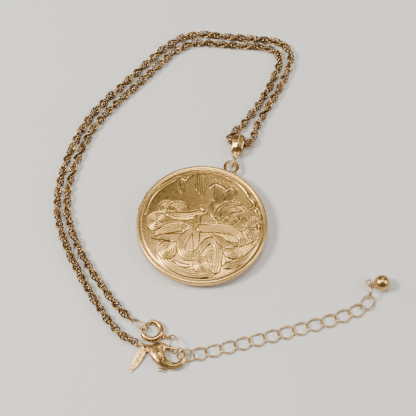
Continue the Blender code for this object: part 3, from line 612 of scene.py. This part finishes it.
class Engraving:
    """A height field over the cover, cut form by form, later forms lying on earlier ones."""

    def __init__(self, x, y):
        self.x = x
        self.y = y
        r = np.hypot(x, y)
        lines = np.cos(math.tau * (x * 0.42 + y * 0.91) / GROUND_PITCH)
        fine = np.cos(math.tau * (x * 0.94 - y * 0.34) / (GROUND_PITCH * 1.3))
        self.height = GROUND_DEPTH * (lines + 0.15 * fine)
        self.fade = held((DOME_R - r) / RIM_FADE)

    def near(self, points, reach):
        """The grid points in a box round some points."""
        low = points.min(0) - reach
        high = points.max(0) + reach
        inside = (self.x > low[0]) & (self.x < high[0]) & (self.y > low[1]) & (self.y < high[1])
        return np.nonzero(inside)

    def lay(self, where, edge, form, cut=1.0):
        """Puts a form inside its edge (negative distance) and a groove just outside."""
        height = self.height[where]
        groove = GROOVE * cut * bump_on(edge, GROOVE_WIDTH)
        self.height[where] = np.where(edge < 0.0, form, height - groove)

    def ribbon(self, knots, half, rise=0.12, crosswise=False, depth=LINE_DEPTH, cut=1.0):
        """A raised band along a curve. half is its half width at even steps along it."""
        line = smooth_line(knots, 0.35)
        where = self.near(line, max(half) + 3.0 * GROOVE_WIDTH)
        off, share, length, side = nearest(line, self.x[where], self.y[where])
        width = np.interp(share, np.linspace(0.0, 1.0, len(half)), half) + 1e-6
        crown = 1.0 - held(off / width) ** 5
        place = length if crosswise else side * off
        lines = depth * np.cos(math.tau * place / LINE_PITCH)
        edge = cut * 0.35
        form = rise * (edge + (1.0 - edge) * crown) + lines * np.minimum(1.0, 4.0 * crown)
        self.lay(where, off - width, form, cut)

    def ridge(self, knots, half=0.19, rise=0.2):
        """A thin raised line."""
        line = smooth_line(knots, KNOT_STEP)
        where = self.near(line, 6.0 * half)
        off = nearest(line, self.x[where], self.y[where])[0]
        foot = 2.4 * half
        kept = self.height[where] * (1.0 - bump_on(off, foot))
        self.height[where] = kept + rise * (bump_on(off, half) - 0.35 * bump_on(off - foot, half))

    def rosette(
        self, centre, radius, rise=0.1, swirl=0.0, petals=0, pitch=LINE_PITCH, squash=1.0, lean=0.0, cut=1.0
    ):
        """A round form with ring lines, which swirl makes spiral and petals make wavy."""
        points = np.array([centre])
        where = self.near(points, radius * 1.4 + 1.0)
        turn = math.radians(lean)
        dx = self.x[where] - centre[0]
        dy = self.y[where] - centre[1]
        u = dx * math.cos(turn) + dy * math.sin(turn)
        v = (dy * math.cos(turn) - dx * math.sin(turn)) / squash
        r = np.hypot(u, v)
        angle = np.arctan2(v, u)
        rim = radius * (1.0 + 0.06 * np.cos(petals * angle)) if petals else radius
        wave = 0.16 * np.cos(petals * angle) if petals else 0.0
        lines = LINE_DEPTH * np.cos(math.tau * (r / pitch + wave) + swirl * angle)
        crown = np.sqrt(held(1.0 - (r / rim) ** 4))
        edge = cut * 0.4
        self.lay(where, r - rim, rise * (edge + (1.0 - edge) * crown) + lines, cut)

    def outline(self):
        """The scalloped line round the ornament."""
        self.ridge(((-16.2, -3.8), (-16.7, 0.5), (-16.3, 3.5), (-15.3, 6.0), (-14.2, 7.7), (-13.4, 8.9)))
        self.ridge(((-13.4, 8.9), (-12.8, 10.1), (-11.6, 10.9), (-10.1, 10.7)))
        self.ridge(((-10.1, 10.7), (-9.8, 12.4), (-7.8, 14.4), (-5.5, 15.7), (-2.7, 16.4), (0.7, 16.6)))
        self.ridge(((0.7, 16.6), (3.7, 16.2), (6.0, 15.4), (7.7, 14.4), (9.4, 13.0)))
        self.ridge(((9.4, 13.0), (10.8, 12.4), (11.6, 11.3), (11.4, 10.2)))
        self.ridge(((11.4, 10.2), (12.8, 10.1), (14.2, 8.4), (15.3, 6.4), (15.6, 5.5)))
        self.ridge(((15.6, 5.5), (16.2, 3.9), (16.5, 1.6), (16.2, 0.2)), 0.16, 0.14)

    def upper_forms(self):
        """Arches, veils and the shell behind the ribbons."""
        self.ribbon(((0.2, 12.2), (1.2, 9.8), (2.1, 7.4)), (1.5, 1.8, 1.5), 0.07, depth=FAINT_DEPTH, cut=0.2)
        self.ribbon(((3.7, 13.2), (4.2, 11.2), (3.8, 9.4)), (1.2, 1.4, 0.9), 0.06, depth=FAINT_DEPTH, cut=0.3)
        self.ridge(((-2.4, 11.5), (-1.7, 12.8), (0.1, 13.1), (1.3, 12.8), (2.1, 12.2)), 0.24, 0.15)
        self.ridge(((2.1, 12.2), (2.9, 13.7), (4.5, 13.3), (5.4, 11.9)), 0.2, 0.12)
        veil = ((-6.6, 13.6), (-5.4, 11.0), (-3.1, 7.2))
        self.ribbon(veil, (1.2, 1.7, 0.1), 0.07, depth=FAINT_DEPTH, cut=0.3)
        veil = ((-11.0, 9.6), (-10.3, 8.2), (-9.0, 6.0))
        self.ribbon(veil, (0.5, 0.9, 0.1), 0.06, depth=FAINT_DEPTH, cut=0.3)
        self.ridge(((-2.9, 14.4), (1.2, 15.0), (5.6, 14.2)), 0.2, 0.05)
        self.ribbon(((0.3, 7.3), (0.5, 5.4), (1.7, 3.6), (3.2, 2.2)), (0.3, 0.6, 0.6, 0.4), 0.1)
        self.rosette((7.6, 4.6), 5.2, 0.16, petals=3, squash=0.95, lean=30.0, cut=0.7)
        self.ridge(((2.9, 3.2), (2.7, 5.2), (3.4, 7.1), (4.9, 8.8), (7.6, 9.7)), 0.2, 0.14)
        self.ribbon(((4.3, 3.0), (4.8, 5.2), (6.4, 6.9), (8.6, 8.0)), (0.4, 0.9, 0.9, 0.4), 0.14, cut=0.8)
        self.rosette((7.4, 3.6), 1.9, 0.06, petals=4, squash=0.7, lean=30.0, cut=0.8)

    def side_rosettes(self):
        """Flower heads at the right and left edges, and the clouds at the upper left."""
        self.rosette((13.9, 8.2), 1.9, 0.1, petals=7)
        self.rosette((15.2, 2.6), 1.7, 0.08, petals=5)
        self.rosette((12.3, 5.6), 2.5, 0.13, petals=8, squash=0.8, lean=30.0)
        self.ridge(((10.9, 9.9), (12.4, 10.2), (13.6, 9.1)), 0.2, 0.13)
        self.rosette((-11.2, -0.1), 2.5, 0.13, cut=0.5)
        self.rosette((-7.9, 0.5), 3.1, 0.14, squash=0.95, lean=15.0, cut=0.5)
        self.rosette((-12.0, -4.9), 3.0, 0.13, swirl=1.0, cut=0.5)

    def left_ribbons(self):
        """The smooth band under the clouds, and the two leaves below it."""
        band = ((-10.2, -1.6), (-7.0, -1.0), (-4.1, 0.2), (-1.9, 1.9), (-0.3, 3.2))
        self.ribbon(band, (0.5, 1.3, 1.3, 1.2, 0.5), 0.16, depth=0.02)
        lower = ((-11.4, -10.3), (-9.2, -9.2), (-6.2, -8.1), (-3.4, -6.8), (-1.9, -4.9))
        self.ribbon(lower, (0.1, 0.8, 1.2, 1.2, 0.5), 0.14, cut=0.6)
        upper = ((-11.3, -9.8), (-9.4, -7.1), (-7.2, -5.2), (-4.8, -4.0), (-2.6, -3.7))
        self.ribbon(upper, (0.1, 1.1, 1.6, 1.5, 0.6), 0.15)
        self.rosette((-3.3, -4.4), 0.9, 0.12, pitch=0.4)

    def lower_forms(self):
        """The ring at the left with the wide band that sweeps from it along the bottom."""
        start = ((-8.2, -11.2), (-7.1, -13.6), (-4.9, -15.4), (-1.9, -16.3))
        sweep = start + ((1.6, -16.6), (5.2, -15.7), (8.0, -14.0), (9.7, -11.6))
        self.ribbon(sweep, (0.9, 1.3, 1.5, 1.5, 1.45, 1.4, 1.3, 1.2), 0.15)
        self.rosette((-5.6, -12.1), 2.75, 0.15, swirl=1.0)
        self.ribbon(((-2.2, -14.2), (0.0, -14.6), (2.2, -14.0)), (0.2, 0.5, 0.3), 0.1, depth=0.0)
        self.rosette((5.3, -12.3), 2.35, 0.13, pitch=0.45)

    def middle_forms(self):
        """The hook, the upright bar and the arch."""
        start = ((-0.9, -3.4), (-2.2, -5.6), (-2.6, -8.4), (-1.4, -10.7))
        hook = start + ((0.6, -11.4), (2.4, -10.2), (2.6, -7.8))
        self.ribbon(hook, (0.6, 1.1, 1.25, 1.3, 1.3, 1.2, 0.7), 0.16)
        bar = ((-1.6, 0.3), (-0.3, -3.0), (0.9, -6.0), (1.7, -8.6))
        self.ribbon(bar, (1.0, 0.95, 0.9, 0.4), 0.18, depth=0.01)
        arch = ((3.5, -9.4), (3.5, -6.6), (4.7, -4.6), (6.8, -4.9), (8.3, -7.2), (9.3, -9.9), (9.7, -12.2))
        self.ribbon(arch, (0.3, 0.9, 1.1, 1.2, 1.3, 1.35, 0.9), 0.17)
        self.ribbon(((5.6, -6.9), (6.1, -8.6), (6.9, -10.2)), (0.35, 0.8, 0.4), 0.1, crosswise=True)

    def right_forms(self):
        """The level band that turns back on itself, the leaf in its bend, and what is below."""
        self.rosette((12.0, -4.9), 2.5, 0.13, swirl=1.0, squash=0.85, lean=20.0)
        lower = ((17.1, -0.4), (17.0, -3.2), (15.9, -5.8), (14.1, -7.9), (12.0, -9.6))
        self.ribbon(lower, (0.3, 1.0, 1.3, 1.3, 0.9), 0.14)
        self.ribbon(((10.9, -9.6), (10.6, -8.2), (10.0, -6.8)), (0.3, 0.6, 0.2), 0.1, depth=0.0)
        leaf = ((4.6, -2.6), (7.0, -3.2), (9.6, -3.6), (12.3, -2.3))
        self.ribbon(leaf, (0.3, 1.1, 1.1, 0.5), 0.13, crosswise=True)
        band = ((0.4, -2.2), (3.4, -0.8), (6.6, 0.5), (9.8, 1.1), (12.3, 0.3), (13.0, -1.6), (11.6, -2.9))
        self.ribbon(band, (1.1, 1.25, 1.35, 1.3, 1.2, 0.9, 0.3), 0.18)
        self.ribbon(((14.2, -0.9), (15.2, 0.9)), (0.4, 0.6), 0.08, crosswise=True)
        self.ridge(((-1.9, 4.0), (-1.2, 3.6)), 0.25, 0.12)
        self.ridge(((16.2, 6.4), (16.7, 5.7)), 0.22, 0.14)

    def cut(self):
        """The finished height field, level at the rim."""
        self.outline()
        self.upper_forms()
        self.side_rosettes()
        self.left_ribbons()
        self.lower_forms()
        self.middle_forms()
        self.right_forms()
        return self.height * self.fade


def disc_grid(count, radius):
    """A square grid pressed into a disc, even all over: x, y, faces and the outer loop."""
    line = np.linspace(-1.0, 1.0, count)
    a, b = np.meshgrid(line, line, indexing="ij")
    with np.errstate(divide="ignore", invalid="ignore"):
        wide = np.abs(a) > np.abs(b)
        r = np.where(wide, a, b)
        turn = np.where(wide, math.pi / 4.0 * b / a, math.pi / 2.0 - math.pi / 4.0 * a / b)
    turn = np.nan_to_num(turn)
    x = radius * r * np.cos(turn)
    y = radius * r * np.sin(turn)
    index = np.arange(count * count).reshape(count, count)
    corners = (index[:-1, :-1], index[1:, :-1], index[1:, 1:], index[:-1, 1:])
    faces = np.stack([c.ravel() for c in corners], 1)
    loop = np.concatenate((index[:-1, 0], index[-1, :-1], index[:0:-1, -1], index[0, :0:-1]))
    return x, y, faces, loop


def blurred(field, passes, reach):
    """A cheap soft blur of a grid."""
    for _ in range(passes):
        for axis in (0, 1):
            field = (np.roll(field, reach, axis) + field + np.roll(field, -reach, axis)) / 3.0
    return field


def with_rim(verts, faces, loop):
    """The rim profile turned on from the outer loop of a disc."""
    faces = [tuple(f) for f in faces]
    angle = np.arctan2(verts[loop, 1], verts[loop, 0])
    parts, rows = [verts], [loop]
    base = len(verts)
    for r, height in RIM_PROFILE:
        parts.append(np.stack([r * np.cos(angle), r * np.sin(angle), np.full(len(loop), height)], 1))
        rows.append(base + np.arange(len(loop)))
        base += len(loop)
    for first, second in zip(rows, rows[1:]):
        for j in range(len(loop)):
            k = (j + 1) % len(loop)
            faces.append((first[j], second[j], second[k], first[k]))
    return np.concatenate(parts), faces


def engraved_cover(material):
    """The domed front of the locket with its engraving, darker where it is cut deep."""
    count = COVER_GRID
    x, y, faces, loop = disc_grid(count, DOME_R)
    relief = Engraving(x, y).cut()
    z = DOME_TOP - DOME_RISE * (np.hypot(x, y) / DOME_R) ** 2 + relief
    verts, faces = with_rim(np.stack([x.ravel(), y.ravel(), z.ravel()], 1), faces, loop)
    cover = mesh_object("engraved_cover", notched(verts), faces, material)
    depth = GROUND_TARNISH + (blurred(relief, passes=5, reach=2) - relief) / TARNISH_DEPTH
    tarnish_and_shade(cover, depth.ravel())
    return cover


def cover_lining(material):
    """The smooth inside of the cover."""
    dome = [(DOME_R * k, DOME_TOP - 0.53 - DOME_RISE * k * k) for k in np.linspace(1.0, 0.0, 12)]
    verts, faces = turned([(18.4, 3.25), (18.2, 3.3)] + dome, 180)
    return mesh_object("cover_lining", verts, faces, material)


def notched(verts):
    """The case wall is cut flat where the hinge sits."""
    inside = (np.abs(verts[:, 1]) < NOTCH[1]) & (np.abs(verts[:, 2] - HINGE[1]) < NOTCH[2])
    inside &= verts[:, 0] < NOTCH[0]
    verts[inside, 0] = NOTCH[0]
    return verts


def back_shell(material):
    """The back of the case, with fine turned rings round a plain middle."""
    rings = [(r, 0.014 * math.cos(math.tau * r / 0.5)) for r in np.arange(12.4, 8.4, -0.05)]
    plain = [(r, 0.0) for r in (8.2, 6.0, 3.0, 0.0)]
    verts, faces = turned(list(BACK_PROFILE) + rings + plain, 360)
    finish_piece(mesh_object("back_shell", notched(verts), faces, material), "locket", "back_cover")


def hinge_barrel(name, low, high, side, material, body, node):
    """A knuckle with the leaf that holds it to its cover, its end edges eased."""
    turn = np.radians(np.linspace(-210.0, 30.0, 40))
    outline = [(KNUCKLE_R * math.cos(t), KNUCKLE_R * math.sin(t)) for t in turn] + KNUCKLE_LEAF
    outline = np.array([(x, z * side) for x, z in outline])
    verts = []
    for y, scale in ((low, 0.9), (low + 0.06, 1.0), (high - 0.06, 1.0), (high, 0.9)):
        verts += [(HINGE[0] + x * scale, y, HINGE[1] + z * scale) for x, z in outline]
    count = len(outline)
    faces = [tuple(range(count)), tuple(range(3 * count, 4 * count))]
    for row in range(3):
        for j in range(count):
            a, b = row * count + j, row * count + (j + 1) % count
            faces.append((a, b, b + count, a + count))
    finish_piece(mesh_object(name, verts, faces, material, smooth=False), body, node)


def hinge(material):
    """Three knuckles and the rod through them."""
    for name, low, high in (("upper", 1.15, 3.15), ("lower", -3.15, -1.15)):
        hinge_barrel(f"barrel_{name}", low, high, -1.0, material, "locket", f"hinge_knuckle_{name}")
    hinge_barrel("barrel_front", -1.05, 1.05, 1.0, material, "cover", "hinge_knuckle_front")
    line = [(HINGE[0], y, HINGE[1]) for y in np.linspace(-3.2, 3.2, 40)]
    verts, faces = tube(line, domed_ends(40, 0.2, 6.4, 0.12), 20)
    finish_piece(mesh_object("hinge_rod", verts, faces, material), "locket", "hinge_pin")


def case_ring(name, inner, outer, low, high, ripple, material, body, node):
    """A thin turned ring, its face milled with fine radial ripples."""
    verts, faces = turned_ring(((outer, high), (outer, low), (inner, low), (inner, high)), 0.1, 360)
    angle = np.arctan2(verts[:, 1], verts[:, 0])
    middle = (low + high) / 2.0
    verts[:, 2] += np.sign(verts[:, 2] - middle) * ripple * np.cos(90.0 * angle)
    finish_piece(mesh_object(name, verts, faces, material), body, node)


def window(name, radius, low, high, material, body, node):
    """A thin clear disc, a little domed, with an eased edge."""
    rise = [(radius * k, high + 0.02 * (1.0 - k * k)) for k in np.linspace(0.0, 0.99, 12)]
    edge = [(radius, high - 0.03), (radius, low + 0.03), (radius * 0.99, low), (0.0, low)]
    verts, faces = turned(rise + edge, 180)
    pane = mesh_object(name, verts, faces, material)
    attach(pane, body)
    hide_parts(node)


def locket_case(plate, polish, clear):
    """Both covers, the hinge, and the rings and windows inside."""
    finish_piece(engraved_cover(plate), "cover", "front_cover")
    lining = cover_lining(polish)
    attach(lining, "cover")
    back_shell(polish)
    hinge(polish)
    case_ring("snap_rim", 17.85, 18.35, 1.8, 2.95, 0.0, polish, "locket", "snap_bezel")
    case_ring("frame_back", 16.2, 17.8, 1.95, 2.25, 0.012, polish, "locket", "picture_ring_back")
    case_ring("frame_front", 16.2, 18.3, 3.0, 3.28, 0.012, polish, "cover", "picture_ring_front")
    window("pane_back", 17.2, 1.8, 1.92, clear, "locket", "picture_window_back")
    window("pane_front", 16.3, 3.3, 3.42, clear, "cover", "picture_window_front")


# ---------------- cast and turned pieces


def softened(name, node, voxel, passes, material):
    """A copy of a solid with its facets melted into a smooth cast shape."""
    obj = bpy.data.objects.new(name, NODES[node].data.copy())
    bpy.context.scene.collection.objects.link(obj)
    remesh = obj.modifiers.new("remesh", "REMESH")
    remesh.mode = "VOXEL"
    remesh.voxel_size = voxel * MM
    soft = obj.modifiers.new("soft", "SMOOTH")
    soft.factor = 0.5
    soft.iterations = passes
    graph = bpy.context.evaluated_depsgraph_get()
    mesh = bpy.data.meshes.new_from_object(obj.evaluated_get(graph))
    obj.modifiers.clear()
    obj.data = mesh
    mesh.materials.clear()
    mesh.materials.append(material)
    mesh.shade_smooth()
    return obj


def carved(obj, change):
    """Moves the points of a piece: change(points, normals) gives the new points, in millimetres."""
    mesh = obj.data
    points = np.empty(3 * len(mesh.vertices))
    normals = np.empty(3 * len(mesh.vertices))
    mesh.vertices.foreach_get("co", points)
    mesh.vertices.foreach_get("normal", normals)
    points = change(points.reshape(-1, 3) / MM, normals.reshape(-1, 3))
    mesh.vertices.foreach_set("co", (points * MM).ravel())
    mesh.update()
    return obj


def bail_shape(points, normals):
    """Puffed front with a bright crest down its middle and two small hollows above the neck."""
    turn = math.radians(BAIL_YAW)
    dx = points[:, 0] - BAIL_EYE[0]
    dy = points[:, 1] - BAIL_EYE[1]
    w = dx * math.cos(turn) + dy * math.sin(turn)
    u = dy * math.cos(turn) - dx * math.sin(turn)
    rise = points[:, 2] - BAIL_MIDDLE_Z
    outside = held(4.0 * normals[:, 2] * np.sign(rise))
    wide = np.interp(u, *BAIL_WIDTH)
    round_off = 0.7 + 0.3 * np.sqrt(held(1.0 - (w / wide) ** 2))
    body = held((u - 0.9) / 1.2)
    points[:, 2] = BAIL_MIDDLE_Z + rise * (1.0 + (round_off - 1.0) * outside * body)
    top = outside * (rise > 0.0)
    reach = held((u - 2.1) / 0.8) * held((7.4 - u) / 1.2)
    crest = 0.2 * bump_on(w, 0.5)
    hollows = 0.5 * bump_on(np.hypot(np.abs(w) - 0.42, 0.8 * (u - 1.75)), 0.34)
    points[:, 2] += top * (crest * reach - hollows)
    wider = 0.16 * w * held((u - 0.9) / 1.0)
    points[:, 0] += wider * math.cos(turn)
    points[:, 1] += wider * math.sin(turn)
    return points


def lobster_shape(points, normals):
    """Rounded over from its outline, with a raised drop-shaped rim and a crest along the hook."""
    x, y = points[:, 0], points[:, 1]
    outline = smooth_line(LOBSTER_OUTLINE, 0.5, closed=True)
    off = nearest(outline, x, y)[0]
    share = held(off / 1.5)
    rounding = 0.42 + 0.58 * np.sqrt(1.0 - (1.0 - share) ** 2)
    rise = points[:, 2] - LOBSTER_Z
    points[:, 2] = LOBSTER_Z + rise * rounding * 1.08
    drop = smooth_line(LOBSTER_DROP, 0.3, closed=True)
    spine = smooth_line(LOBSTER_SPINE, 0.3)
    faces_up = np.clip(2.0 * normals[:, 2], -1.0, 1.0)
    off, _, _, side = nearest(drop, x, y)
    rim = 0.34 * bump_on(off, 0.24) - 0.3 * held(off / 0.4) * (side > 0.0)
    crest = 0.16 * bump_on(nearest(spine, x, y)[0], 0.42)
    points[:, 2] += faces_up * (rim + crest - 0.05)
    return points


def gate_shape(points, normals):
    """The free end of the lever, outside the body, is thicker."""
    out = held((points[:, 0] - 6.9) / 0.5) * (points[:, 1] > -39.0)
    points[:, 2] = LOBSTER_Z + (points[:, 2] - LOBSTER_Z) * (1.0 + 0.2 * out)
    points[:, 1] += 0.12 * out * np.minimum(normals[:, 1], 0.0)
    return points


def tag_shape(points, normals):
    """A raised edge round a sunk field with a small generic scroll pattern."""
    local = moved(points, np.linalg.inv(turn_matrix(TAG_AT, TAG_YAW, TAG_PITCH, 0.0)))
    s = held(-local[:, 1] / TAG_LENGTH)
    wide = TAG_HALF_WIDTH * np.sin(math.pi * (0.2 + 0.8 * s)) ** 0.8 + 1e-3
    off_middle = np.abs(local[:, 0]) / wide
    inside = held((0.95 - off_middle) / 0.12) * held((-local[:, 1] - 1.0) / 0.25)
    inside *= held((TAG_LENGTH - 0.7 + local[:, 1]) / 0.3)
    wave = np.sin(local[:, 1] * 5.2) * 0.32 * held(wide)
    vine = bump_on(local[:, 0] - wave, 0.12)
    leaf = bump_on(np.abs(local[:, 0] + wave) - 0.28, 0.1) * (np.cos(local[:, 1] * 10.4) > 0.0)
    relief = inside * (0.1 * np.maximum(vine, leaf) - 0.1)
    points[:, 2] += np.clip(2.0 * normals[:, 2], -1.0, 1.0) * relief
    return points


def cast_pieces(material, satin):
    """Bail, lobster body, its lever, and the tag."""
    finish_piece(carved(softened("puffed_bail", "bail", 0.1, 18, satin), bail_shape), "bail", "bail")
    claw = carved(softened("claw_body", "lobster_body", 0.08, 16, satin), lobster_shape)
    finish_piece(claw, "lobster", "lobster_body")
    gate = carved(softened("claw_lever", "lobster_gate", 0.07, 6, material), gate_shape)
    finish_piece(gate, "gate", "lobster_gate")
    leaf = carved(softened("leaf_tag", "tag", 0.05, 3, material), tag_shape)
    finish_piece(leaf, "tag", "tag")


def ball_profile(radius, parts=28):
    """Half a circle as (r, z) points."""
    return [(radius * math.sin(t), radius * math.cos(t)) for t in np.linspace(0.0, math.pi, parts)]


def small_turned(material):
    """The rivet and thumb knob of the clasp, and the loop that the locket hangs from."""
    knob, knob_faces = turned(ball_profile(0.6), 32)
    knob = mesh_object("claw_knob", knob + np.array(LOBSTER_KNOB), knob_faces, material)
    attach(knob, "gate")
    half = [(0.0, 1.2), (0.16, 1.19), (0.25, 1.14), (0.28, 1.06)]
    profile = half + [(r, -z) for r, z in reversed(half)]
    rivet, rivet_faces = turned(profile, 32)
    rivet = mesh_object("claw_rivet", rivet + np.array(LOBSTER_PIN), rivet_faces, material)
    finish_piece(rivet, "lobster", "lobster_pin")
    corners = ((2.4, 2.36), (2.4, 1.6), (1.4, 1.6), (1.4, 2.36))
    verts, faces = turned_ring(corners, 0.34, 96, LOOP_AT)
    r = np.hypot(verts[:, 0], verts[:, 1])
    inside = r < LOCKET_R - 0.3
    verts[inside, :2] *= ((LOCKET_R - 0.3) / r[inside])[:, None]
    finish_piece(mesh_object("case_loop", verts, faces, material), "locket", "top_loop")


def arc(radius, first, last, count, at):
    """Points on a level arc from one angle to another, in degrees."""
    turn = np.radians(np.linspace(first, last, count))
    return np.stack([radius * np.cos(turn), radius * np.sin(turn), 0.0 * turn], 1) + np.asarray(at, float)


def domed_ends(count, radius, length, dome):
    """Radii along a rod whose two ends are rounded off."""
    along = np.linspace(0.0, length, count)
    edge = np.minimum(along, length - along)
    return radius * np.sqrt(np.clip(1.0 - (1.0 - held(edge / dome)) ** 2, 0.02, 1.0))


def spring_ring(material):
    """The hollow round catch, its sliding bolt with a thumb tab, and its small eye."""
    ring_r, tube_r, first, last = SPRING_TUBE
    line = arc(ring_r, first, last, 150, SPRING_RING)
    length = ring_r * math.radians(last - first)
    verts, faces = tube(line, domed_ends(150, tube_r, length, 0.35), 40)

    def slotted(points, normals):
        x = points[:, 0] - SPRING_RING[0]
        y = points[:, 1] - SPRING_RING[1]
        turn = np.degrees(np.arctan2(y, x))
        along = held((turn - SPRING_SLOT[0]) / 4.0)
        along *= held((SPRING_SLOT[1] - turn) / 4.0)
        inner = held((ring_r - 0.3 - np.hypot(x, y)) / 0.15)
        deep = 0.3 * along * inner * (np.abs(points[:, 2] - SPRING_RING[2]) < 0.2)
        return points - normals * deep[:, None]

    hollow = carved(mesh_object("catch_ring", verts, faces, material), slotted)
    finish_piece(hollow, "spring_ring", "spring_ring_tube")
    bolt_r, first, last = SPRING_BOLT
    length = ring_r * math.radians(last - first)
    rod = tube(arc(ring_r, first, last, 90, SPRING_RING), domed_ends(90, bolt_r, length, 0.25), 24)
    tab = math.radians(SPRING_TAB_ANGLE)
    out = np.array((math.cos(tab), math.sin(tab), 0.0))
    stem = np.array(SPRING_RING) + out * np.array([1.42, 1.48, 1.6, 1.75, 1.9, 2.5])[:, None]
    thumb = tube(stem, (0.05, 0.17, 0.22, 0.2, 0.15, 0.15), 20)
    finish_piece(mesh_object("catch_bolt", *joined([rod, thumb]), material), "bolt", "spring_ring_bolt")
    eye = oval(0.55, 0.55, 0.0, (SPRING_EYE, 0.0, 0.0, 0.0))
    wire_piece("catch_eye", eye, 0.2, material, "spring_ring", "spring_ring_eye")


def ball_drop(material):
    """The bead at the end of the extender and the two-turn wire eye that it hangs from."""
    towards = (Vector(DROP_EYE) - Vector(BALL)).normalized()
    turn = np.array(towards.to_track_quat("Z", "Y").to_matrix().to_4x4())
    turn[:3, 3] = BALL
    cap = [(0.0, 2.4), (0.45, 2.4), (0.55, 2.37), (0.6, 2.3), (0.61, 2.24)]
    dimple = [(0.32, -2.262), (0.26, -2.16), (0.0, -2.1)]
    bead = [(r, z) for r, z in ball_profile(BALL_R, 60) if r > (0.34 if z < 0.0 else 0.62)]
    verts, faces = turned(cap + bead + dimple, 96)
    finish_piece(mesh_object("end_bead", moved(verts, turn), faces, material), "drop", "drop_ball")
    t = np.linspace(0.0, 2.0 * math.tau, 120)
    coil = np.stack([0.9 * np.cos(t), 0.9 * np.sin(t), 0.15 * np.sin(t / 2.0)], 1) + np.array(DROP_EYE)
    verts, faces = tube(coil, 0.17, 14, closed=True)
    finish_piece(mesh_object("bead_eye", verts, faces, material), "drop", "drop_eye")


# ---------------- stage


def direction(azimuth, elevation):
    """Unit vector from the middle towards a light or the camera."""
    a, e = math.radians(azimuth), math.radians(elevation)
    return Vector((math.sin(a) * math.cos(e), -math.cos(a) * math.cos(e), math.sin(e)))


def camera():
    """The camera at the photo's angle."""
    data = bpy.data.cameras.new("camera")
    data.lens = LENS
    data.sensor_width = 36.0
    data.clip_start = 0.01
    obj = bpy.data.objects.new("camera", data)
    towards = direction(CAMERA_TURN, CAMERA_ELEVATION)
    obj.location = (Vector(LOOK_AT) + towards * CAMERA_DISTANCE) * MM
    obj.rotation_euler = towards.to_track_quat("Z", "Y").to_euler()
    bpy.context.scene.collection.objects.link(obj)
    bpy.context.scene.camera = obj


def softbox(name, azimuth, elevation, distance, size, power, colour):
    """A soft rectangular light that faces the middle."""
    data = bpy.data.lights.new(name, "AREA")
    data.shape = "RECTANGLE"
    data.size, data.size_y = size
    data.energy = power
    data.color = colour
    obj = bpy.data.objects.new(name, data)
    towards = direction(azimuth, elevation)
    obj.location = towards * distance
    obj.rotation_euler = towards.to_track_quat("Z", "Y").to_euler()
    bpy.context.scene.collection.objects.link(obj)


def stage():
    """The floor, the lights and a dim even sky."""
    e = FLOOR_EDGE
    corners = [(-e, -e, 0), (e, -e, 0), (e, e, 0), (-e, e, 0)]
    floor = mesh_object("floor", corners, [(0, 1, 2, 3)], floor_paper())
    floor.location.z = FLOOR_Z * MM
    softbox("face_light", 204.0, 84.0, 0.9, (0.4, 0.24), 3.9, (1.0, 0.94, 0.84))
    softbox("back_light", 185.0, 38.0, 0.9, (0.5, 0.16), 0.9, (1.0, 0.94, 0.84))
    softbox("key_light", -60.0, 48.0, 0.8, (0.22, 0.22), 8.0, (1.0, 0.96, 0.9))
    softbox("fill_light", 110.0, 35.0, 0.9, (0.3, 0.5), 4.0, (1.0, 0.98, 0.95))
    softbox("side_light", -90.0, 26.0, 0.9, (0.5, 0.16), 1.2, (1.0, 0.96, 0.9))
    world = bpy.data.worlds.new("studio")
    world.use_nodes = True
    sky = world.node_tree.nodes["Background"]
    sky.inputs["Color"].default_value = (0.8, 0.82, 0.86, 1.0)
    sky.inputs["Strength"].default_value = 0.1
    bpy.context.scene.world = world


def main():
    """Builds the stage, the finishes and every piece."""
    camera()
    stage()
    # The chain's last colour is the dark of its painted shade, under the chain and inside its rings.
    chain_gold = gold("chain_gold", (0.56, 0.35, 0.13), (0.36, 0.21, 0.075), 0.2, 0.2, (0.05, 0.022, 0.008))
    wire_gold = gold("wire_gold", (0.68, 0.46, 0.21), (0.52, 0.34, 0.14), 0.3)
    plate = gold("engraved_gold", (0.88, 0.56, 0.19), (0.74, 0.45, 0.13), 0.27, 0.06, (0.12, 0.055, 0.01))
    polish = gold("polished_gold", (0.74, 0.47, 0.17), (0.58, 0.35, 0.12), 0.2)
    satin = gold("satin_gold", (0.7, 0.45, 0.18), (0.54, 0.33, 0.12), 0.29)
    clear = clear_window()
    rope_chain(chain_gold)
    extender(wire_gold)
    clasp_rings(wire_gold)
    spring_ring(polish)
    cast_pieces(polish, satin)
    small_turned(polish)
    ball_drop(satin)
    locket_case(plate, polish, clear)


main()
